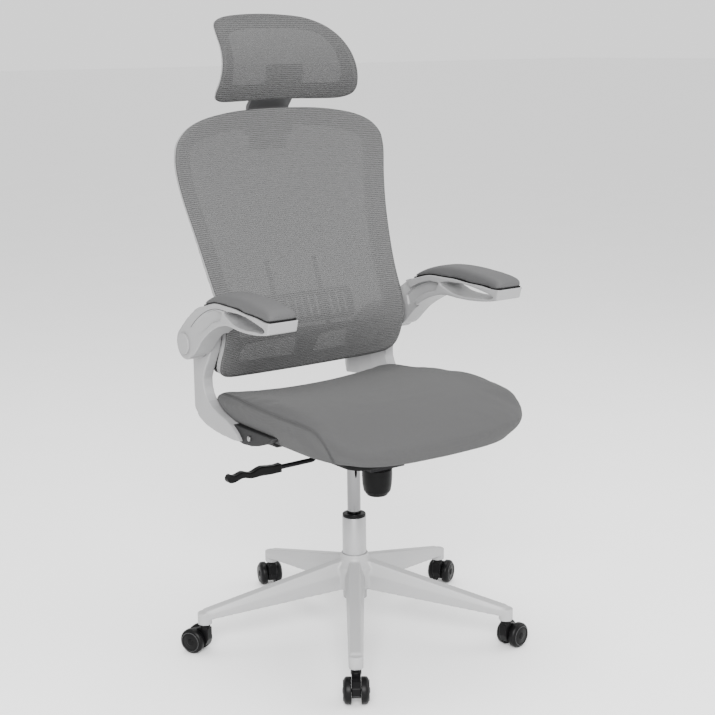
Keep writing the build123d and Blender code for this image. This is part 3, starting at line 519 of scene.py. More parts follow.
def settle(piece: bpy.types.Object) -> None:
    """Apply every modifier of a piece.

    Args:
        piece: The object, which keeps the result as its mesh.
    """
    graph = bpy.context.evaluated_depsgraph_get()
    graph.update()
    mesh = bpy.data.meshes.new_from_object(piece.evaluated_get(graph), depsgraph=graph)
    piece.modifiers.clear()
    old = piece.data
    piece.data = mesh
    bpy.data.meshes.remove(old)


def copied(node: str, name: str) -> bpy.types.Object:
    """Copy a CAD node's mesh, merged, as a new object.

    Args:
        node: The CAD node.
        name: The copy's name.

    Returns:
        The new object.
    """
    mesh = bpy.data.meshes.new(name)
    bm = bmesh.new()
    bm.from_mesh(frame["nodes"][node].data)
    bmesh.ops.remove_doubles(bm, verts=bm.verts, dist=CAD_MERGE)
    bmesh.ops.dissolve_degenerate(bm, edges=bm.edges, dist=CAD_MERGE)
    bm.to_mesh(mesh)
    bm.free()
    return add_object(name, mesh)


def regrid(piece: bpy.types.Object, voxel: float) -> None:
    """Give a piece a modifier that remeshes it on an even grid.

    Args:
        piece: The object.
        voxel: Size of the grid in metres.
    """
    remesh = piece.modifiers.new("grid", "REMESH")
    remesh.mode = "VOXEL"
    remesh.voxel_size = voxel


def soften(piece: bpy.types.Object, rounds: int, levels: int = 0) -> None:
    """Smooth a piece, refine it and keep the result.

    Args:
        piece: The object.
        rounds: Smoothing rounds; each softens the edges a little more.
        levels: Subdivision levels after that.
    """
    smooth = piece.modifiers.new("round", "SMOOTH")
    smooth.factor = 0.5
    smooth.iterations = rounds
    if levels:
        subdivide = piece.modifiers.new("fine", "SUBSURF")
        subdivide.levels = subdivide.render_levels = levels
    settle(piece)
    piece.data.shade_smooth()


def turned(node: str, finish: str, edge: float = 0.0006, angle: float = 35.0) -> bpy.types.Object:
    """Finish a hard part in the place of its CAD node, with softened edges.

    Args:
        node: The CAD node that it stands for.
        finish: A key of FINISHES.
        edge: Width of the edge rounding in metres.
        angle: Degrees above which an edge counts as sharp.

    Returns:
        The finished piece, riding on the node's body.
    """
    piece = copied(node, f"{node}_finished")
    bm = bmesh.new()
    bm.from_mesh(piece.data)
    bmesh.ops.dissolve_limit(bm, angle_limit=NEARLY_FLAT, verts=bm.verts, edges=bm.edges)
    bm.to_mesh(piece.data)
    bm.free()
    bevel = piece.modifiers.new("edge", "BEVEL")
    bevel.width = edge
    bevel.segments = 2
    bevel.limit_method = "ANGLE"
    bevel.angle_limit = math.radians(angle)
    bevel.use_clamp_overlap = True
    settle(piece)
    piece.data.shade_smooth()
    piece.data.set_sharp_from_angle(angle=math.radians(angle))
    place(piece, node, finish)
    return piece


def moulded(node: str, finish: str, voxel: float, rounds: int) -> bpy.types.Object:
    """Finish a moulded part in the place of its CAD node, with the soft edges of a moulding.

    Args:
        node: The CAD node that it stands for.
        finish: A key of FINISHES.
        voxel: Size of the remeshing grid in metres.
        rounds: Smoothing rounds; each softens the edges a little more.

    Returns:
        The finished piece, riding on the node's body.
    """
    piece = copied(node, f"{node}_moulded")
    regrid(piece, voxel)
    soften(piece, rounds)
    place(piece, node, finish)
    return piece


def ride(piece: bpy.types.Object, body: str) -> None:
    """Let a finished piece move with a CAD body, and report it."""
    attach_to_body(piece, body)
    log.info("%s rides on %s: %d faces", piece.name, body, len(piece.data.polygons))


def attach(piece: bpy.types.Object, body: str, finish: str) -> None:
    """Dress a piece that has no CAD node and let it move with a CAD body."""
    PAINT.dress(piece, finish)
    ride(piece, body)


def place(piece: bpy.types.Object, node: str, finish: str) -> None:
    """Dress a piece, let it stand for a CAD node and move with that node's body.

    Args:
        piece: The finished piece.
        node: The CAD node.
        finish: A key of FINISHES.
    """
    PAINT.dress(piece, finish)
    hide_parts(node)
    ride(piece, BODY_OF[node])


def smooth_line(points: list[Point], per_run: int, closed: bool = False) -> list[Vector]:
    """Draw a smooth curve through some points.

    Args:
        points: Points of the curve.
        per_run: New points for each run between two of them.
        closed: Whether the last point joins the first.

    Returns:
        The curve's points in order.
    """
    p = [Vector(q) for q in points]
    count = len(p)
    runs = count if closed else count - 1
    out = []
    for i in range(runs):
        a, b = p[i], p[(i + 1) % count]
        before = p[(i - 1) % count] if closed or i else a * 2 - b
        after = p[(i + 2) % count] if closed or i + 2 < count else b * 2 - a
        for step in range(per_run):
            t = step / per_run
            out.append(
                0.5
                * (
                    2 * a
                    + (b - before) * t
                    + (2 * before - 5 * a + 4 * b - after) * t * t
                    + (3 * a - before - 3 * b + after) * t * t * t
                )
            )
    if not closed:
        out.append(p[-1])
    return out


def side_view(line: Outline) -> Outline:
    """Make a line of pairs smooth, ready to be read by level."""
    return [(p.x, p.y) for p in smooth_line([(a, b, 0) for a, b in line], SIDE_STEPS)]


def both_halves(half: Outline, per_run: int) -> list[Vector]:
    """Make a smooth closed outline from its half on the side of +X.

    Args:
        half: Pairs from one end of the middle line to the other.
        per_run: New points for each run between two pairs.

    Returns:
        The outline's points, counter-clockwise, with zero as their last value.
    """
    right = [(x, y, 0.0) for x, y in half]
    left = [(-x, y, 0.0) for x, y in reversed(half[1:-1])]
    return smooth_line(right + left, per_run, closed=True)


def level(line: Outline, at: float) -> float:
    """Read a line of pairs at one first value.

    Args:
        line: Pairs with rising first values.
        at: The first value to read at.

    Returns:
        The second value there, or that of the nearer end when it lies past the line.
    """
    for (a, low), (b, high) in zip(line, line[1:]):
        if at <= b:
            return low + (high - low) * max(0.0, (at - a) / (b - a))
    return line[-1][1]


def ramp(value: float, start: float, run: float) -> float:
    """Rise evenly from 0 at a start to 1 after a run."""
    return max(0.0, min(1.0, (value - start) / run))


def circle(
    centre: Vector, across: Vector, up: Vector, radius: float, count: int
) -> list[Vector]:
    """Put points on a circle."""
    turns = [2 * math.pi * k / count for k in range(count)]
    return [centre + radius * (math.cos(t) * across + math.sin(t) * up) for t in turns]


def loft(name: str, rows: list[list[Vector]], looped: bool = False) -> bpy.types.Object:
    """Stretch a skin over closed rows of points.

    Args:
        name: The piece's name.
        rows: Closed rows with as many points each.
        looped: Whether the last row joins the first; if not, both are capped.

    Returns:
        The new object.
    """
    sides = len(rows[0])
    starts = [i * sides for i in range(len(rows))]
    after = starts[1:] + starts[:1] if looped else starts[1:]
    faces = [
        (a + k, a + (k + 1) % sides, b + (k + 1) % sides, b + k)
        for a, b in zip(starts, after)
        for k in range(sides)
    ]
    if not looped:
        faces += [tuple(range(sides)), tuple(range(starts[-1], starts[-1] + sides))]
    return from_faces(name, [v for row in rows for v in row], faces)


def tube(
    name: str, path: list[Vector], radius: float, closed: bool, sides: int = 8
) -> bpy.types.Object:
    """Make a round bar along a path.

    Args:
        name: The piece's name.
        path: Centre line.
        radius: Half the thickness in metres.
        closed: Whether the path is a loop.
        sides: Faces round the bar.

    Returns:
        The new object.
    """
    rows = []
    count = len(path)
    normal = None
    for i, centre in enumerate(path):
        ahead = path[(i + 1) % count] if closed or i + 1 < count else centre
        behind = path[(i - 1) % count] if closed or i else centre
        along = (ahead - behind).normalized()
        if normal is None:
            normal = along.orthogonal().normalized()
        normal = (normal - along * normal.dot(along)).normalized()
        rows.append(circle(centre, normal, along.cross(normal), radius, sides))
    return loft(name, rows, looped=closed)


def surface_of(piece: bpy.types.Object) -> BVHTree:
    """Make a search tree over a piece's faces.

    Args:
        piece: The object.

    Returns:
        The tree.
    """
    bm = bmesh.new()
    bm.from_mesh(piece.data)
    tree = BVHTree.FromBMesh(bm)
    bm.free()
    return tree


@dataclass(frozen=True)
class Inflation:
    """How a soft piece is blown up by its cloth simulation."""

    voxel: float
    pressure: float
    cap: float
    frames: int = 20
    smoothing: int = 6


def inflate(piece: bpy.types.Object, how: Inflation, held_below: float) -> None:
    """Remesh a soft piece, blow it up as cloth under pressure and keep the result.

    Args:
        piece: A closed piece, a little smaller than it should end.
        how: Sizes of the simulation.
        held_below: Height under which the cloth is pinned to what it sits on.
    """
    regrid(piece, how.voxel)
    settle(piece)
    before = [v.co.copy() for v in piece.data.vertices]
    held = piece.vertex_groups.new(name="held")
    held.add([v.index for v in piece.data.vertices if v.co.z < held_below], 1.0, "REPLACE")
    cloth = piece.modifiers.new("cloth", "CLOTH")
    cloth.settings.quality = 5
    cloth.settings.use_pressure = True
    cloth.settings.uniform_pressure_force = how.pressure
    cloth.settings.tension_stiffness = 20
    cloth.settings.compression_stiffness = 20
    cloth.settings.bending_stiffness = 2
    cloth.settings.vertex_group_mass = "held"
    cloth.settings.effector_weights.gravity = 0.0
    cloth.point_cache.frame_start = 1
    cloth.point_cache.frame_end = how.frames
    for number in range(1, how.frames + 1):
        bpy.context.scene.frame_set(number)
    settle(piece)
    piece.vertex_groups.clear()
    bpy.context.scene.frame_set(1)
    for vertex, start in zip(piece.data.vertices, before):
        shift = vertex.co - start
        if shift.length > how.cap:
            vertex.co = start + shift.normalized() * how.cap
    soften(piece, how.smoothing, 1)


# ---------------------------------------------------------------- repeated pieces
class StitchRow:
    """A row of thread stitches along a path, made with Geometry Nodes."""

    def __init__(self, spacing: float, length: float, thickness: float) -> None:
        """Build the node tree.

        Args:
            spacing: Metres from one stitch to the next.
            length: Length of a stitch.
            thickness: Half the thread's thickness.
        """
        tree = bpy.data.node_groups.new("stitch_row", "GeometryNodeTree")
        face = tree.interface
        face.new_socket("Geometry", in_out="INPUT", socket_type="NodeSocketGeometry")
        sizes = {"Spacing": spacing, "Stitch Length": length, "Thread Radius": thickness}
        self.sizes = {
            face.new_socket(key, in_out="INPUT", socket_type="NodeSocketFloat").identifier: value
            for key, value in sizes.items()
        }
        thread = face.new_socket("Thread", in_out="INPUT", socket_type="NodeSocketMaterial")
        self.thread = thread.identifier
        face.new_socket("Geometry", in_out="OUTPUT", socket_type="NodeSocketGeometry")
        new, link = tree.nodes.new, tree.links.new
        start, end = new("NodeGroupInput"), new("NodeGroupOutput")
        curve = new("GeometryNodeMeshToCurve")
        spaced = new("GeometryNodeResampleCurve")
        spaced.mode = "LENGTH"
        stitch = new("GeometryNodeMeshCylinder")
        stitch.inputs["Vertices"].default_value = 6
        tangent = new("GeometryNodeInputTangent")
        turn = new("FunctionNodeAlignRotationToVector")
        turn.axis = "Z"
        rows = new("GeometryNodeInstanceOnPoints")
        real = new("GeometryNodeRealizeInstances")
        paint = new("GeometryNodeSetMaterial")
        link(start.outputs["Geometry"], curve.inputs["Mesh"])
        link(curve.outputs["Curve"], spaced.inputs["Curve"])
        link(start.outputs["Spacing"], spaced.inputs["Length"])
        link(start.outputs["Stitch Length"], stitch.inputs["Depth"])
        link(start.outputs["Thread Radius"], stitch.inputs["Radius"])
        link(spaced.outputs["Curve"], rows.inputs["Points"])
        link(stitch.outputs["Mesh"], rows.inputs["Instance"])
        link(tangent.outputs["Tangent"], turn.inputs["Vector"])
        link(turn.outputs["Rotation"], rows.inputs["Rotation"])
        link(rows.outputs["Instances"], real.inputs["Geometry"])
        link(real.outputs["Geometry"], paint.inputs["Geometry"])
        link(start.outputs["Thread"], paint.inputs["Material"])
        link(paint.outputs["Geometry"], end.inputs["Geometry"])
        self.tree = tree

    def sew(self, name: str, path: list[Vector], body: str) -> bpy.types.Object:
        """Sew one row along a path.

        Args:
            name: The piece's name.
            path: Points that the row follows.
            body: The CAD body that it rides on.

        Returns:
            The finished row as a plain mesh.
        """
        mesh = bpy.data.meshes.new(name)
        mesh.from_pydata([tuple(p) for p in path], [(i, i + 1) for i in range(len(path) - 1)], [])
        row = add_object(name, mesh)
        modifier = row.modifiers.new("stitches", "NODES")
        modifier.node_group = self.tree
        for identifier, value in self.sizes.items():
            modifier[identifier] = value
        modifier[self.thread] = PAINT.get("thread")
        settle(row)
        row.data.shade_smooth()
        attach(row, body, "thread")
        return row


# ---------------------------------------------------------------- base and casters
@dataclass
class StarBase:
    """Five-arm base with its column tube."""

    arm_voxel: float = 0.0020
    rounds: int = 3

    def build(self) -> None:
        """Finish the base, the tube and the collar."""
        moulded("star_base", "base", self.arm_voxel, self.rounds)
        turned("column_tube", "silver", 0.0008)
        turned("column_bushing", "black", 0.0012)


@dataclass
class Casters:
    """Five twin-wheel casters."""

    count: int = 5
    rim_radius: float = 0.0195
    rim_thread: float = 0.0008
    rim_points: int = 48
    hub_radius: float = 0.0075
    hub_points: int = 32
    hub_dome: Outline = field(
        default_factory=lambda: [
            (0.0, -0.0015), (1.0, -0.0015), (1.0, 0.0004), (0.9, 0.0011), (0.6, 0.0017),
            (0.25, 0.002), (0.0, 0.002),
        ]
    )

    def build(self) -> None:
        """Finish every caster and add its rim lines and hub caps."""
        for number in range(1, self.count + 1):
            moulded(f"caster_fork_{number}", "black", 0.0011, 3)
            turned(f"caster_wheels_{number}", "wheel", 0.0028, 40.0)
            turned(f"caster_axle_{number}", "bright", 0.0004)
            self.rims(number)

    def rims(self, number: int) -> None:
        """Add a raised rim line and a domed hub cap to the outer face of each wheel.

        Args:
            number: Which caster.
        """
        joint = next(
            j for j in frame["record"]["behaviour"]["joints"] if j["name"] == f"wheel_roll_{number}"
        )
        centre, axis = Vector(joint["pos_m"]), Vector(joint["axis"]).normalized()
        points = [v.co for v in frame["nodes"][f"caster_wheels_{number}"].data.vertices]
        across, up = Vector((-axis.y, axis.x, 0)), Vector((0, 0, 1))
        for letter, out in (("a", -axis), ("b", axis)):
            middle = centre + out * max((p - centre).dot(out) for p in points)
            ring = circle(middle, across, up, self.rim_radius, self.rim_points)
            rim = tube(f"wheel_rim_{number}_{letter}", ring, self.rim_thread, True, 6)
            attach(rim, f"wheels_{number}", "wheel_rim")
            dome = [
                circle(middle + out * height, across, up, self.hub_radius * part, self.hub_points)
                for part, height in self.hub_dome
            ]
            attach(loft(f"hub_cap_{number}_{letter}", dome), f"wheels_{number}", "black")


# ---------------------------------------------------------------- column and mechanism
@dataclass
class Mechanism:
    """Gas lift, tilt housing, tension knob and lift lever."""

    grip_voxel: float = 0.0011

    def build(self) -> None:
        """Finish the lift, the tilt mechanism, the knob and the lever."""
        for node, finish, edge in (
            ("gas_cylinder", "chrome", 0.0006), ("piston_rod", "bright", 0.0004),
            ("thrust_bearing", "bright", 0.0004), ("tilt_housing", "black_steel", 0.0015),
            ("spring_barrel", "black_steel", 0.0008), ("knob_spindle", "bright", 0.0004),
            ("tilt_plate", "grey_steel", 0.0008), ("tilt_pin", "bright", 0.0005),
            ("plate_bolts", "bright", 0.0005), ("lever_saddle", "black", 0.0006),
            ("lever_rod", "black_steel", 0.0004), ("seat_pan", "black", 0.002),
        ):
            turned(node, finish, edge)
        moulded("tension_knob", "black", 0.0012, 3)
        moulded("lever_grip", "black", self.grip_voxel, 5)


# ---------------------------------------------------------------- seat
@dataclass
class Seat:
    """Upholstered seat with a waterfall front, side seams and topstitching.

    A zone is where a change starts and how far it runs.
    """

    bottom: float = 0.4555
    middle_y: float = -0.05
    soft: Inflation = Inflation(voxel=0.006, pressure=3.0, cap=0.003)
    held: float = 0.003
    half: Outline = field(
        default_factory=lambda: [
            (0, -0.3225), (0.125, -0.3175), (0.196, -0.298), (0.234, -0.254), (0.2485, -0.190),
            (0.2495, -0.080), (0.2475, 0.020), (0.2430, 0.092), (0.2370, 0.140), (0.2270, 0.168),
            (0.2120, 0.182), (0.185, 0.187), (0, 0.189),
        ]
    )
    crown: Outline = field(
        default_factory=lambda: [
            (-0.323, 0.492), (-0.300, 0.508), (-0.275, 0.520), (-0.19, 0.539), (-0.107, 0.541),
            (0.0, 0.531), (0.108, 0.515), (0.19, 0.503),
        ]
    )
    shoulder: Outline = field(
        default_factory=lambda: [
            (-0.323, 0.494), (-0.295, 0.496), (-0.270, 0.507), (-0.249, 0.518), (-0.223, 0.529),
            (-0.183, 0.536), (-0.107, 0.5435), (0.0, 0.5385), (0.092, 0.527), (0.140, 0.524),
            (0.173, 0.524), (0.19, 0.521),
        ]
    )
    shares: tuple[float, ...] = (
        0.12, 0.3, 0.48, 0.64, 0.76, 0.85, 0.90, 0.93, 0.95, 0.965, 0.98, 0.99, 0.996, 1.0,
    )
    falls: tuple[float, ...] = (0.08, 0.2, 0.35, 0.5, 0.65, 0.8, 0.92, 1.0)
    bracket_line: Outline = field(
        default_factory=lambda: [
            (0.440, 0.050), (0.465, 0.076), (0.480, 0.098), (0.495, 0.128), (0.505, 0.150),
            (0.512, 0.170),
        ]
    )
    seam: list[Point] = field(
        default_factory=lambda: [
            (0.24, 0.130, 0.533), (0.24, 0.077, 0.534), (0.24, 0.015, 0.530), (0.24, -0.042, 0.527),
            (0.24, -0.117, 0.525), (0.24, -0.190, 0.524), (0.24, -0.224, 0.515),
            (0.24, -0.251, 0.496), (0.24, -0.271, 0.476), (0.24, -0.282, 0.464),
        ]
    )
    flank: float = 0.235
    dish: float = 2.2
    front_zone: tuple[float, float] = (0.20, 0.1)
    rear_zone: tuple[float, float] = (0.15, 0.03)
    edge_zone: tuple[float, float] = (0.93, 0.07)
    edge_drop: float = 0.012
    front_edge_drop: float = 0.005
    side_inset: float = 0.034
    front_inset: float = 0.011
    corner_inset: float = 0.035
    rear_inset: float = 0.002
    corner_from: float = 0.22
    flange_top: float = 0.4775
    flange_span: tuple[float, float] = (-0.066, 0.116)
    flange_clear: float = 0.2140
    bracket_top: float = 0.514
    bracket_clear: float = 0.2208
    stitch: tuple[float, float, float] = (0.0046, 0.0032, 0.00035)
    row_offset: float = 0.0035
    welt_radius: float = 0.0008
    thread_lift: float = 0.0002
    seam_steps: int = 12
    seam_outside: float = 0.17
    plan_steps: int = 7
    fall_power: float = 1.2
    bracket_margin: float = 0.003
    bottom_slack: float = 0.0002

    def __post_init__(self) -> None:
        """Smooth the two lines that the sitting surface is read from."""
        self.lines = [side_view(line) for line in (self.crown, self.shoulder)]

    def top(self, x: float, y: float) -> float:
        """Read the height of the sitting surface at one place."""
        low, high = (level(line, y) for line in self.lines)
        return low + (high - low) * min(1.0, abs(x) / self.flank) ** self.dish

    def rows(self) -> list[list[Vector]]:
        """Lay out the cushion's skin.

        Returns:
            Closed rows, from the middle of the top over the edge and down to the bottom.
        """
        plan = both_halves(self.half, self.plan_steps)
        centre, count = Vector((0, self.middle_y, 0)), len(plan)
        rows = []
        for share in self.shares:
            row = []
            turn = ramp(share, *self.edge_zone)
            for p in plan:
                spot = centre + (p - centre) * share
                front = ramp(-p.y, *self.front_zone)
                edge = self.edge_drop - (self.edge_drop - self.front_edge_drop) * front
                drop = edge * (1 - math.sqrt(1 - turn * turn))
                row.append(Vector((spot.x, spot.y, self.top(spot.x, spot.y) - drop)))
            rows.append(row)
        rim = rows[-1]
        for fall in self.falls:
            row = []
            for i, p in enumerate(plan):
                along = plan[(i + 1) % count] - plan[i - 1]
                inwards = Vector((-along.y, along.x, 0)).normalized()
                front, rear = ramp(-p.y, *self.front_zone), ramp(p.y, *self.rear_zone)
                corner = min(1.0, abs(p.x) / self.corner_from) ** 3
                nose = self.front_inset + self.corner_inset * corner
                flank = self.side_inset + (nose - self.side_inset) * front
                inset = flank * (1 - rear) + self.rear_inset * rear
                spot = p + inwards * inset * fall ** (self.fall_power * (1 + front))
                z = rim[i].z
                row.append(Vector((spot.x, spot.y, z + (self.bottom - z) * fall)))
            rows.append(row)
        return rows

    def build(self) -> bpy.types.Object:
        """Make the cushion, its seams and its stitches.

        Returns:
            The cushion.
        """
        cushion = loft("seat_cover", self.rows())
        inflate(cushion, self.soft, self.bottom + self.held)
        for vertex in cushion.data.vertices:
            self.clear_brackets(vertex)
        PAINT.dress(cushion, "seat")
        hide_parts("seat_cushion")
        ride(cushion, "seat")
        self.sew_seams(cushion)
        return cushion

    def clear_brackets(self, vertex: bpy.types.MeshVertex) -> None:
        """Keep the cushion's flanks clear of the flanges and the side brackets.

        Args:
            vertex: One of the cushion's corners, which is moved in place.
        """
        co = vertex.co
        limit = 1.0
        near, far = self.flange_span
        if co.z < self.flange_top and near < co.y < far:
            limit = self.flange_clear
        bracket = level(self.bracket_line, co.z) - self.bracket_margin
        if co.y > bracket and co.z < self.bracket_top:
            limit = min(limit, self.bracket_clear)
        co.x = math.copysign(min(abs(co.x), limit), co.x)
        co.z = max(co.z, self.bottom - self.bottom_slack)

    def sew_seams(self, cushion: bpy.types.Object) -> None:
        """Sew the side seams: a sunk welt with a row of stitches on each side.

        Args:
            cushion: The finished cushion.
        """
        cover = surface_of(cushion)
        eye = Vector(Studio.camera_at)
        rows = StitchRow(*self.stitch)
        near_side = []
        for point in smooth_line([(-x, y, z) for x, y, z in self.seam], self.seam_steps):
            spot, _, _, _ = cover.ray_cast(eye, (point - eye).normalized())
            if spot is not None and spot.x < -self.seam_outside:
                near_side.append(spot)
        for side in Side:
            line = [Vector((-side.value * p.x, p.y, p.z)) for p in near_side]
            for letter, offset in (("a", -self.row_offset), ("", 0.0), ("b", self.row_offset)):
                moved = []
                for i, spot in enumerate(line):
                    ahead = line[min(i + 1, len(line) - 1)] - line[max(i - 1, 0)]
                    _, normal, _, _ = cover.find_nearest(spot)
                    across = ahead.cross(normal).normalized()
                    near, face, _, _ = cover.find_nearest(spot + across * offset)
                    moved.append(near + face * self.thread_lift)
                if letter:
                    rows.sew(f"seat_stitches_{side.word}_{letter}", moved, "seat")
                else:
                    welt = tube(f"seat_seam_{side.word}", moved, self.welt_radius, False, 6)
                    attach(welt, "seat", "thread")


# ---------------------------------------------------------------- brackets and armrests
@dataclass
class Armrests:
    """Side brackets and flip-up armrests with crowned pads."""

    beam_top: Outline = field(
        default_factory=lambda: [
            (-0.171, 0.727), (-0.154, 0.726), (-0.117, 0.729), (-0.076, 0.730), (-0.038, 0.733),
            (0.013, 0.733), (0.047, 0.732), (0.077, 0.725), (0.103, 0.718),
        ]
    )
    crown: Outline = field(
        default_factory=lambda: [
            (-0.1725, 0.7400), (-0.158, 0.7480), (-0.117, 0.7545), (-0.052, 0.7590), (0.008, 0.7560),
            (0.058, 0.7440), (0.090, 0.7300), (0.101, 0.7230),
        ]
    )
    rim_line: Outline = field(
        default_factory=lambda: [
            (0.153, 0.669), (0.135, 0.683), (0.107, 0.700), (0.075, 0.714), (0.044, 0.722),
            (0.018, 0.724), (-0.003, 0.724),
        ]
    )
    base_gap: float = 0.0012
    stations: int = 56
    inner_edge: Outline = field(default_factory=lambda: [(-0.176, 0.2435), (0.107, 0.236)])
    outer_edge: Outline = field(default_factory=lambda: [(-0.176, 0.3095), (0.185, 0.283)])
    soft: Inflation = Inflation(voxel=0.004, pressure=2.0, cap=0.0012)
    pad_front: float = -0.172
    pad_length: float = 0.273
    pad_inset: float = 0.0006
    least_height: float = 0.002
    profile: int = 20
    nose: float = 0.10
    nose_power: float = 2.4
    nose_width: float = 0.80
    tail_width: float = 0.72
    tail_slope: float = 5.0
    flank_power: float = 0.42
    crown_power: float = 0.62
    # sizes of the thin black plate that paints the shadow gap under each pad
    plate_front: float = -0.1695
    plate_length: float = 0.268
    plate_inset: float = 0.0042
    plate_heights: tuple[float, float] = (-0.0006, 0.0030)
    line_radius: float = 0.0007
    outside: float = 0.4

    def edges(self, y: float, margin: float) -> tuple[float, float]:
        """Give an armrest's inner and outer distance from the chair's middle at one y."""
        return level(self.inner_edge, y) + margin, level(self.outer_edge, y) - margin

    def pad(self, side: Side) -> bpy.types.Object:
        """Make one crowned arm pad.

        Args:
            side: Which armrest.

        Returns:
            The pad, already blown up.
        """
        under, over = side_view(self.beam_top), side_view(self.crown)
        rows = []
        for i in range(self.stations + 1):
            t = i / self.stations
            y = self.pad_front + self.pad_length * t
            low = level(under, y) + self.base_gap
            high = max(low + self.least_height, level(over, y))
            inner, outer = self.edges(y, self.pad_inset)
            blunt = (max(0.0, self.nose - t) / self.nose) ** self.nose_power
            front = min(1.0, math.sqrt(max(0.0, 1 - blunt)) + self.nose_width)
            tail = math.sqrt(min(1.0, self.tail_width + self.tail_slope * (1 - t)))
            middle, half = (inner + outer) / 2, (outer - inner) / 2 * min(front, tail)
            row = []
            for k in range(self.profile):
                turn = math.pi * k / (self.profile - 1)
                c, s = math.cos(turn), math.sin(turn)
                x = middle + half * math.copysign(abs(c) ** self.flank_power, c)
                z = low + (high - low) * abs(s) ** self.crown_power
                row.append(Vector((side.value * x, y, z)))
            rows.append(row)
        pad = loft(f"arm_cushion_{side.word}", rows)
        inflate(pad, self.soft, 0.0)
        PAINT.dress(pad, "pad")
        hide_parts(f"arm_pad_{side.word}")
        ride(pad, f"armrest_{side.word}")
        return pad

    def crease(self, side: Side, arm: bpy.types.Object) -> None:
        """Draw a dark line of painted shade in the groove that runs under the rim of an armrest's
        outer face.

        Args:
            side: Which armrest.
            arm: The finished armrest.
        """
        outer = surface_of(arm)
        path = []
        start = side.value * self.outside
        for point in smooth_line([(start, y, z) for y, z in self.rim_line], SIDE_STEPS):
            spot, _, _, _ = outer.ray_cast(point, Vector((-side.value, 0, 0)))
            if spot is not None:
                path.append(spot)
        # the dark tube is painted shade, standing in for the shadow in the groove
        line = tube(f"arm_rim_line_{side.word}", path, self.line_radius, False, 6)
        attach(line, f"armrest_{side.word}", "shadow_line")

    def base_plate(self, side: Side) -> None:
        """Make the thin black plate between a pad and its armrest, which darkens the gap under the pad
        as painted shade.

        Args:
            side: Which armrest.
        """
        under = side_view(self.beam_top)
        bottom, top = self.plate_heights
        rows = []
        for i in range(self.stations + 1):
            y = self.plate_front + self.plate_length * i / self.stations
            low = level(under, y)
            inner, outer = self.edges(y, self.plate_inset)
            corners = ((inner, bottom), (outer, bottom), (outer, top), (inner, top))
            rows.append([Vector((side.value * x, y, low + z)) for x, z in corners])
        # the black plate is painted shade for the gap between the pad and the armrest
        plate = loft(f"arm_pad_base_{side.word}", rows)
        plate.data.set_sharp_from_angle(angle=math.radians(40))
        attach(plate, f"armrest_{side.word}", "black")

    def build(self) -> None:
        """Finish both brackets and both armrests."""
        for side in Side:
            moulded(f"side_bracket_{side.word}", "frame", 0.0018, 4)
            arm = moulded(f"armrest_{side.word}", "frame", 0.0015, 4)
            self.crease(side, arm)
            moulded(f"seat_flange_{side.word}", "grey_steel", 0.0018, 3)
            turned(f"pivot_cap_{side.word}", "frame", 0.0006)
            turned(f"arm_pin_{side.word}", "bright", 0.0004)
            self.pad(side)
            self.base_plate(side)
        turned("bracket_screws", "bright", 0.0008)


# ---------------------------------------------------------------- mesh panels
class PanelFront:
    """The front of a curved CAD panel, which the finished pieces are laid on."""

    end_margin: float = 0.002
    end_step: float = 0.008
    near_share: float = 0.95
    far_share: float = 0.975
    usual_y: float = 0.15

    def __init__(self, node: str, edge: list[Vector]) -> None:
        """Take the panel's surface and middle.

        Args:
            node: The panel's CAD node.
            edge: The finished outline as (x, z) points.
        """
        self.solid = surface_of(frame["nodes"][node])
        self.floor, self.ceiling = (corner[2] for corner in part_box(node))
        low, high = min(p.y for p in edge), max(p.y for p in edge)
        self.centre = Vector((0, (low + high) / 2, 0))

    def cast(self, x: float, z: float) -> float:
        """Find how far back the front is on a level ray.

        Args:
            x: Place across the panel.
            z: Height.

        Returns:
            The y where the ray meets the panel, or that of the nearest place.
        """
        hit, _, _, _ = self.solid.ray_cast(Vector((x, -1, z)), Vector((0, 1, 0)))
        if hit is None:
            hit, _, _, _ = self.solid.find_nearest(Vector((x, self.usual_y, z)))
        return hit.y

    def depth(self, spot: Vector) -> float:
        """Find how far back the front is, carried on past the CAD panel's ends.

        Args:
            spot: An (x, z) point.

        Returns:
            The y there.
        """
        z = min(max(spot.y, self.floor + self.end_margin), self.ceiling - self.end_margin)
        back = self.cast(spot.x, z)
        if z != spot.y:
            step = math.copysign(self.end_step, z - spot.y)
            back += (self.cast(spot.x, z + step) - back) / step * (spot.y - z)
        return back

    def at(
        self, point: Vector, share: float = 1.0, proud: float = 0.0, outwards: float = 0.0
    ) -> Vector:
        """Give a place on the front, a share of the way out to an outline point.

        Args:
            point: The (x, z) outline point.
            share: 0 in the middle, 1 on the outline.
            proud: Metres towards the sitter.
            outwards: Metres past the place, away from the middle.

        Returns:
            The place in the frame.
        """
        reach = point - self.centre
        if share <= self.far_share:
            back = self.depth(self.centre + reach * share)
        else:
            near, far = (
                self.depth(self.centre + reach * part) for part in (self.near_share, self.far_share)
            )
            run = self.far_share - self.near_share
            back = far + (far - near) * (share - self.far_share) / run
        spot = self.centre + reach * share + reach.normalized() * outwards
        return Vector((spot.x, back - proud, spot.y))


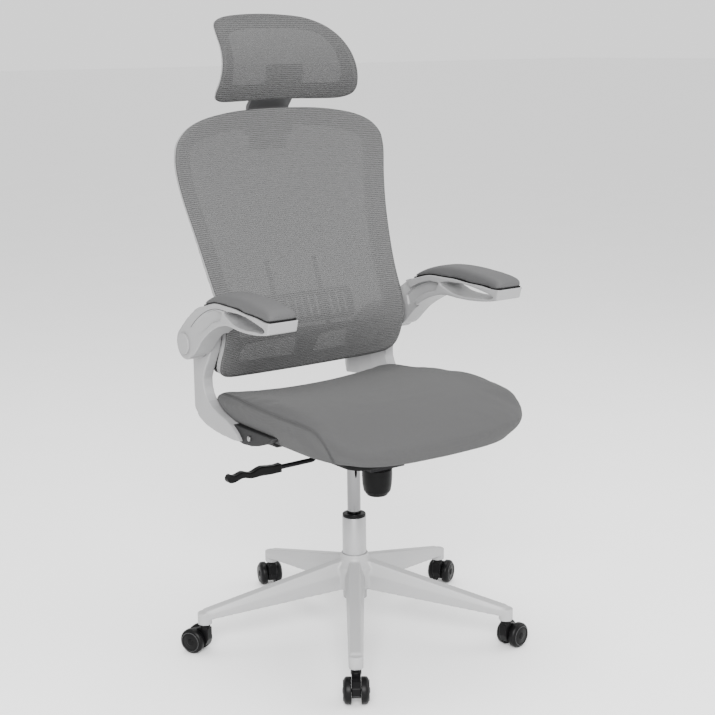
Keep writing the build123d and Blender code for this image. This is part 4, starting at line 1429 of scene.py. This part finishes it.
@dataclass
class MeshPanel:
    """A curved panel of stretch mesh over its frame.

    The lip and the strips are given by corners: metres towards the sitter and past the outline.
    """

    name: str
    node: str
    body: str
    finish: str
    half: Outline
    held_by: str
    thread: float
    rings: int = 40
    thickness: float = 0.0011
    lip_depth: float = 0.75
    strip: tuple[float, float] | None = None
    gasket_at: tuple[float, float] = (-0.0024, -0.0010)
    flat_margin: float = 1.03
    flat_slack: float = 1.12
    lip_corners: Outline = field(
        default_factory=lambda: [
            (-0.0045, -0.0075), (-0.0052, -0.0010), (-0.0120, -0.0004), (-0.0185, -0.0020),
            (-0.0195, -0.0100), (-0.0080, -0.0110),
        ]
    )
    lip_edge: float = 0.0012
    strip_corners: Outline = field(
        default_factory=lambda: [
            (-0.0150, -0.0030), (-0.0340, -0.0030), (-0.0340, -0.0080), (-0.0150, -0.0080),
        ]
    )
    strip_from: float = 0.19
    outline_steps: int = 9

    def build(self) -> bpy.types.Object:
        """Make the mesh, its edge binding, its lip and its strips.

        Returns:
            The mesh panel.
        """
        edge = both_halves(self.half, self.outline_steps)
        front = PanelFront(self.node, edge)
        panel = self.skin(edge, front)
        solidify = panel.modifiers.new("cloth_thickness", "SOLIDIFY")
        solidify.thickness = self.thickness
        solidify.offset = -1.0
        settle(panel)
        panel.data.shade_smooth()
        PAINT.dress(panel, self.finish)
        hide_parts(self.node)
        ride(panel, self.body)
        rim = [front.at(p, 1.0, *self.gasket_at) for p in edge]
        attach(tube(f"{self.name}_gasket", rim, self.thread, True), self.body, "hem")
        self.lip(edge, front)
        if self.strip:
            self.side_strips(edge, front)
        return panel

    def skin(self, edge: list[Vector], front: PanelFront) -> bpy.types.Object:
        """Lay rings of points on the front and skin them, facing the sitter.

        Args:
            edge: The panel's outline.
            front: The surface that it lies on.

        Returns:
            The panel without thickness.
        """
        count = len(edge)
        verts = [front.at(edge[0], 0.0)]
        for ring in range(1, self.rings + 1):
            verts += [front.at(point, ring / self.rings) for point in edge]
        faces = [(0, 1 + k, 1 + (k + 1) % count) for k in range(count)]
        for ring in range(self.rings - 1):
            a, b = 1 + ring * count, 1 + (ring + 1) * count
            faces += [(a + k, b + k, b + (k + 1) % count, a + (k + 1) % count) for k in range(count)]
        mesh = bpy.data.meshes.new(self.name)
        mesh.from_pydata([tuple(v) for v in verts], [], faces)
        bm = bmesh.new()
        bm.from_mesh(mesh)
        bmesh.ops.recalc_face_normals(bm, faces=bm.faces)
        if sum(f.normal.y for f in bm.faces) > 0:
            bmesh.ops.reverse_faces(bm, faces=bm.faces)
        bm.to_mesh(mesh)
        bm.free()
        return add_object(self.name, mesh)

    def lip(self, edge: list[Vector], front: PanelFront) -> None:
        """Make the pale lip of the shell that shows beside the mesh.

        Args:
            edge: The panel's outline.
            front: The surface that the mesh lies on.
        """
        scale = self.lip_depth
        rows = [
            [front.at(p, 1.0, proud * scale, out) for proud, out in self.lip_corners] for p in edge
        ]
        shell = loft(f"{self.name}_lip", rows, looped=True)
        bevel = shell.modifiers.new("edge", "BEVEL")
        bevel.width = self.lip_edge
        bevel.segments = 2
        bevel.limit_method = "ANGLE"
        settle(shell)
        shell.data.shade_smooth()
        attach(shell, self.body, "frame")

    def side_strips(self, edge: list[Vector], front: PanelFront) -> None:
        """Make the black carrier's edges that show behind the lip beside the brackets.

        Args:
            edge: The panel's outline.
            front: The surface that the mesh lies on.
        """
        low, high = self.strip
        for side in Side:
            run = [p for p in edge if p.x * side.value > self.strip_from and low < p.y < high]
            run.sort(key=lambda p: p.y)
            rows = [[front.at(p, 1.0, proud, out) for proud, out in self.strip_corners] for p in run]
            strip = loft(f"{self.name}_strip_{side.word}", rows)
            strip.data.set_sharp_from_angle(angle=math.radians(35))
            attach(strip, self.body, "black")


@dataclass
class Back:
    """The back frame with its mesh, lumbar pad and headrest guide."""

    half: Outline = field(
        default_factory=lambda: [
            (0, 0.543), (0.070, 0.544), (0.140, 0.547), (0.195, 0.552), (0.219, 0.564),
            (0.227, 0.590), (0.225, 0.650), (0.230, 0.740), (0.241, 0.840), (0.254, 0.925),
            (0.260, 0.975), (0.259, 1.005), (0.251, 1.030), (0.226, 1.054), (0.187, 1.070),
            (0.134, 1.080), (0.080, 1.085), (0, 1.087),
        ]
    )

    def build(self) -> None:
        """Finish the frame, stretch the mesh over it and finish the parts behind it."""
        frame_piece = moulded("back_frame", "frame", 0.0024, 4)
        moulded("mesh_carrier", "black", 0.0022, 2)
        moulded("lumbar_pad", "grey", 0.0014, 2)
        turned("lumbar_rails", "black", 0.0008)
        turned("headrest_guide", "grey", 0.0015)
        MeshPanel(
            "back_cover", "back_mesh", "seat", "mesh", self.half, frame_piece.name, 0.0016,
            strip=(0.549, 0.662),
        ).build()


@dataclass
class Headrest:
    """The tilting headrest on its post."""

    half: Outline = field(
        default_factory=lambda: [
            (0, 1.1055), (0.050, 1.1050), (0.100, 1.1040), (0.145, 1.1045), (0.167, 1.111),
            (0.173, 1.124), (0.170, 1.145), (0.164, 1.175), (0.157, 1.208), (0.148, 1.238),
            (0.132, 1.260), (0.102, 1.273), (0.055, 1.279), (0, 1.281),
        ]
    )

    def build(self) -> None:
        """Finish the post and the frame and stretch the mesh."""
        moulded("headrest_post", "grey", 0.0016, 4)
        frame_piece = moulded("headrest_frame", "frame", 0.0018, 3)
        turned("headrest_pin", "bright", 0.0004)
        MeshPanel(
            "headrest_cover", "headrest_mesh", "headrest", "head_mesh", self.half,
            frame_piece.name, 0.0010, rings=28, lip_depth=0.5,
        ).build()


# ---------------------------------------------------------------- studio
@dataclass(frozen=True)
class Lamp:
    """One soft square light, with its size in metres and its power in watts."""

    name: str
    at: Point
    towards: Point
    size: float
    power: float

    def build(self) -> None:
        """Hang the light and aim it."""
        data = bpy.data.lights.new(self.name, "AREA")
        data.size = self.size
        data.energy = self.power
        lamp = bpy.data.objects.new(self.name, data)
        lamp.location = self.at
        aim = Vector(self.towards) - Vector(self.at)
        lamp.rotation_euler = aim.to_track_quat("-Z", "Y").to_euler()
        bpy.context.scene.collection.objects.link(lamp)


@dataclass
class Studio:
    """Pale floor, soft lights and the camera."""

    camera_at: Point = (-1.696, -2.335, 1.227)
    heading: float = -36.21
    pitch: float = 12.39
    roll: float = -0.68
    lens: float = 73.06
    floor_half: float = 60.0
    floor_drop: float = 0.0005
    air: float = 1.35
    lamps: tuple[Lamp, ...] = (
        Lamp("key", (-2.2, -2.9, 2.3), (0, 0, 0.7), 2.0, 310.0),
        Lamp("fill", (2.6, -1.6, 1.8), (0, 0, 0.6), 2.5, 50.0),
        Lamp("top", (0.3, 0.6, 3.6), (0, 0, 0.6), 2.0, 90.0),
    )

    def build(self) -> None:
        """Set up the floor, the world, the lights and the camera."""
        self.lay_floor()
        world = bpy.data.worlds.new("studio_air")
        world.use_nodes = True
        world.node_tree.nodes["Background"].inputs["Color"].default_value = (1, 1, 1, 1)
        world.node_tree.nodes["Background"].inputs["Strength"].default_value = self.air
        bpy.context.scene.world = world
        for lamp in self.lamps:
            lamp.build()
        self.set_camera()

    def lay_floor(self) -> None:
        """Lay the paper that the chair stands on, a hair below the casters."""
        corners = ((-1, -1), (1, -1), (1, 1), (-1, 1))
        size = self.floor_half
        floor = from_faces(
            "studio_floor",
            [Vector((x * size, y * size, -self.floor_drop)) for x, y in corners],
            [(0, 1, 2, 3)],
        )
        pale = Shader("studio_paper")
        pale.tint(pale.noise(3.0), (0.90, 0.90, 0.90), (0.93, 0.93, 0.93))
        pale.set(Roughness=0.9)
        floor.data.materials.append(pale.material)

    def set_camera(self) -> None:
        """Put up the camera and make it the scene's own."""
        data = bpy.data.cameras.new("studio_camera")
        data.lens = self.lens
        data.sensor_width = 36.0
        camera = bpy.data.objects.new("studio_camera", data)
        camera.location = self.camera_at
        turns = ((0, 0, self.heading), (90 - self.pitch, 0, 0), (0, 0, self.roll))
        heading, pitch, roll = (Euler([math.radians(a) for a in turn]).to_matrix() for turn in turns)
        camera.rotation_euler = (heading @ pitch @ roll).to_euler()
        bpy.context.scene.collection.objects.link(camera)
        bpy.context.scene.camera = camera


def main() -> None:
    """Build the studio and every sub-assembly in order."""
    logging.basicConfig(level=logging.INFO, format="%(message)s")
    Studio().build()
    for assembly in (
        StarBase(), Casters(), Mechanism(), Seat(), Armrests(), Back(), Headrest(),
    ):
        assembly.build()
        log.info("built %s", type(assembly).__name__)


if __name__ == "__main__":
    main()
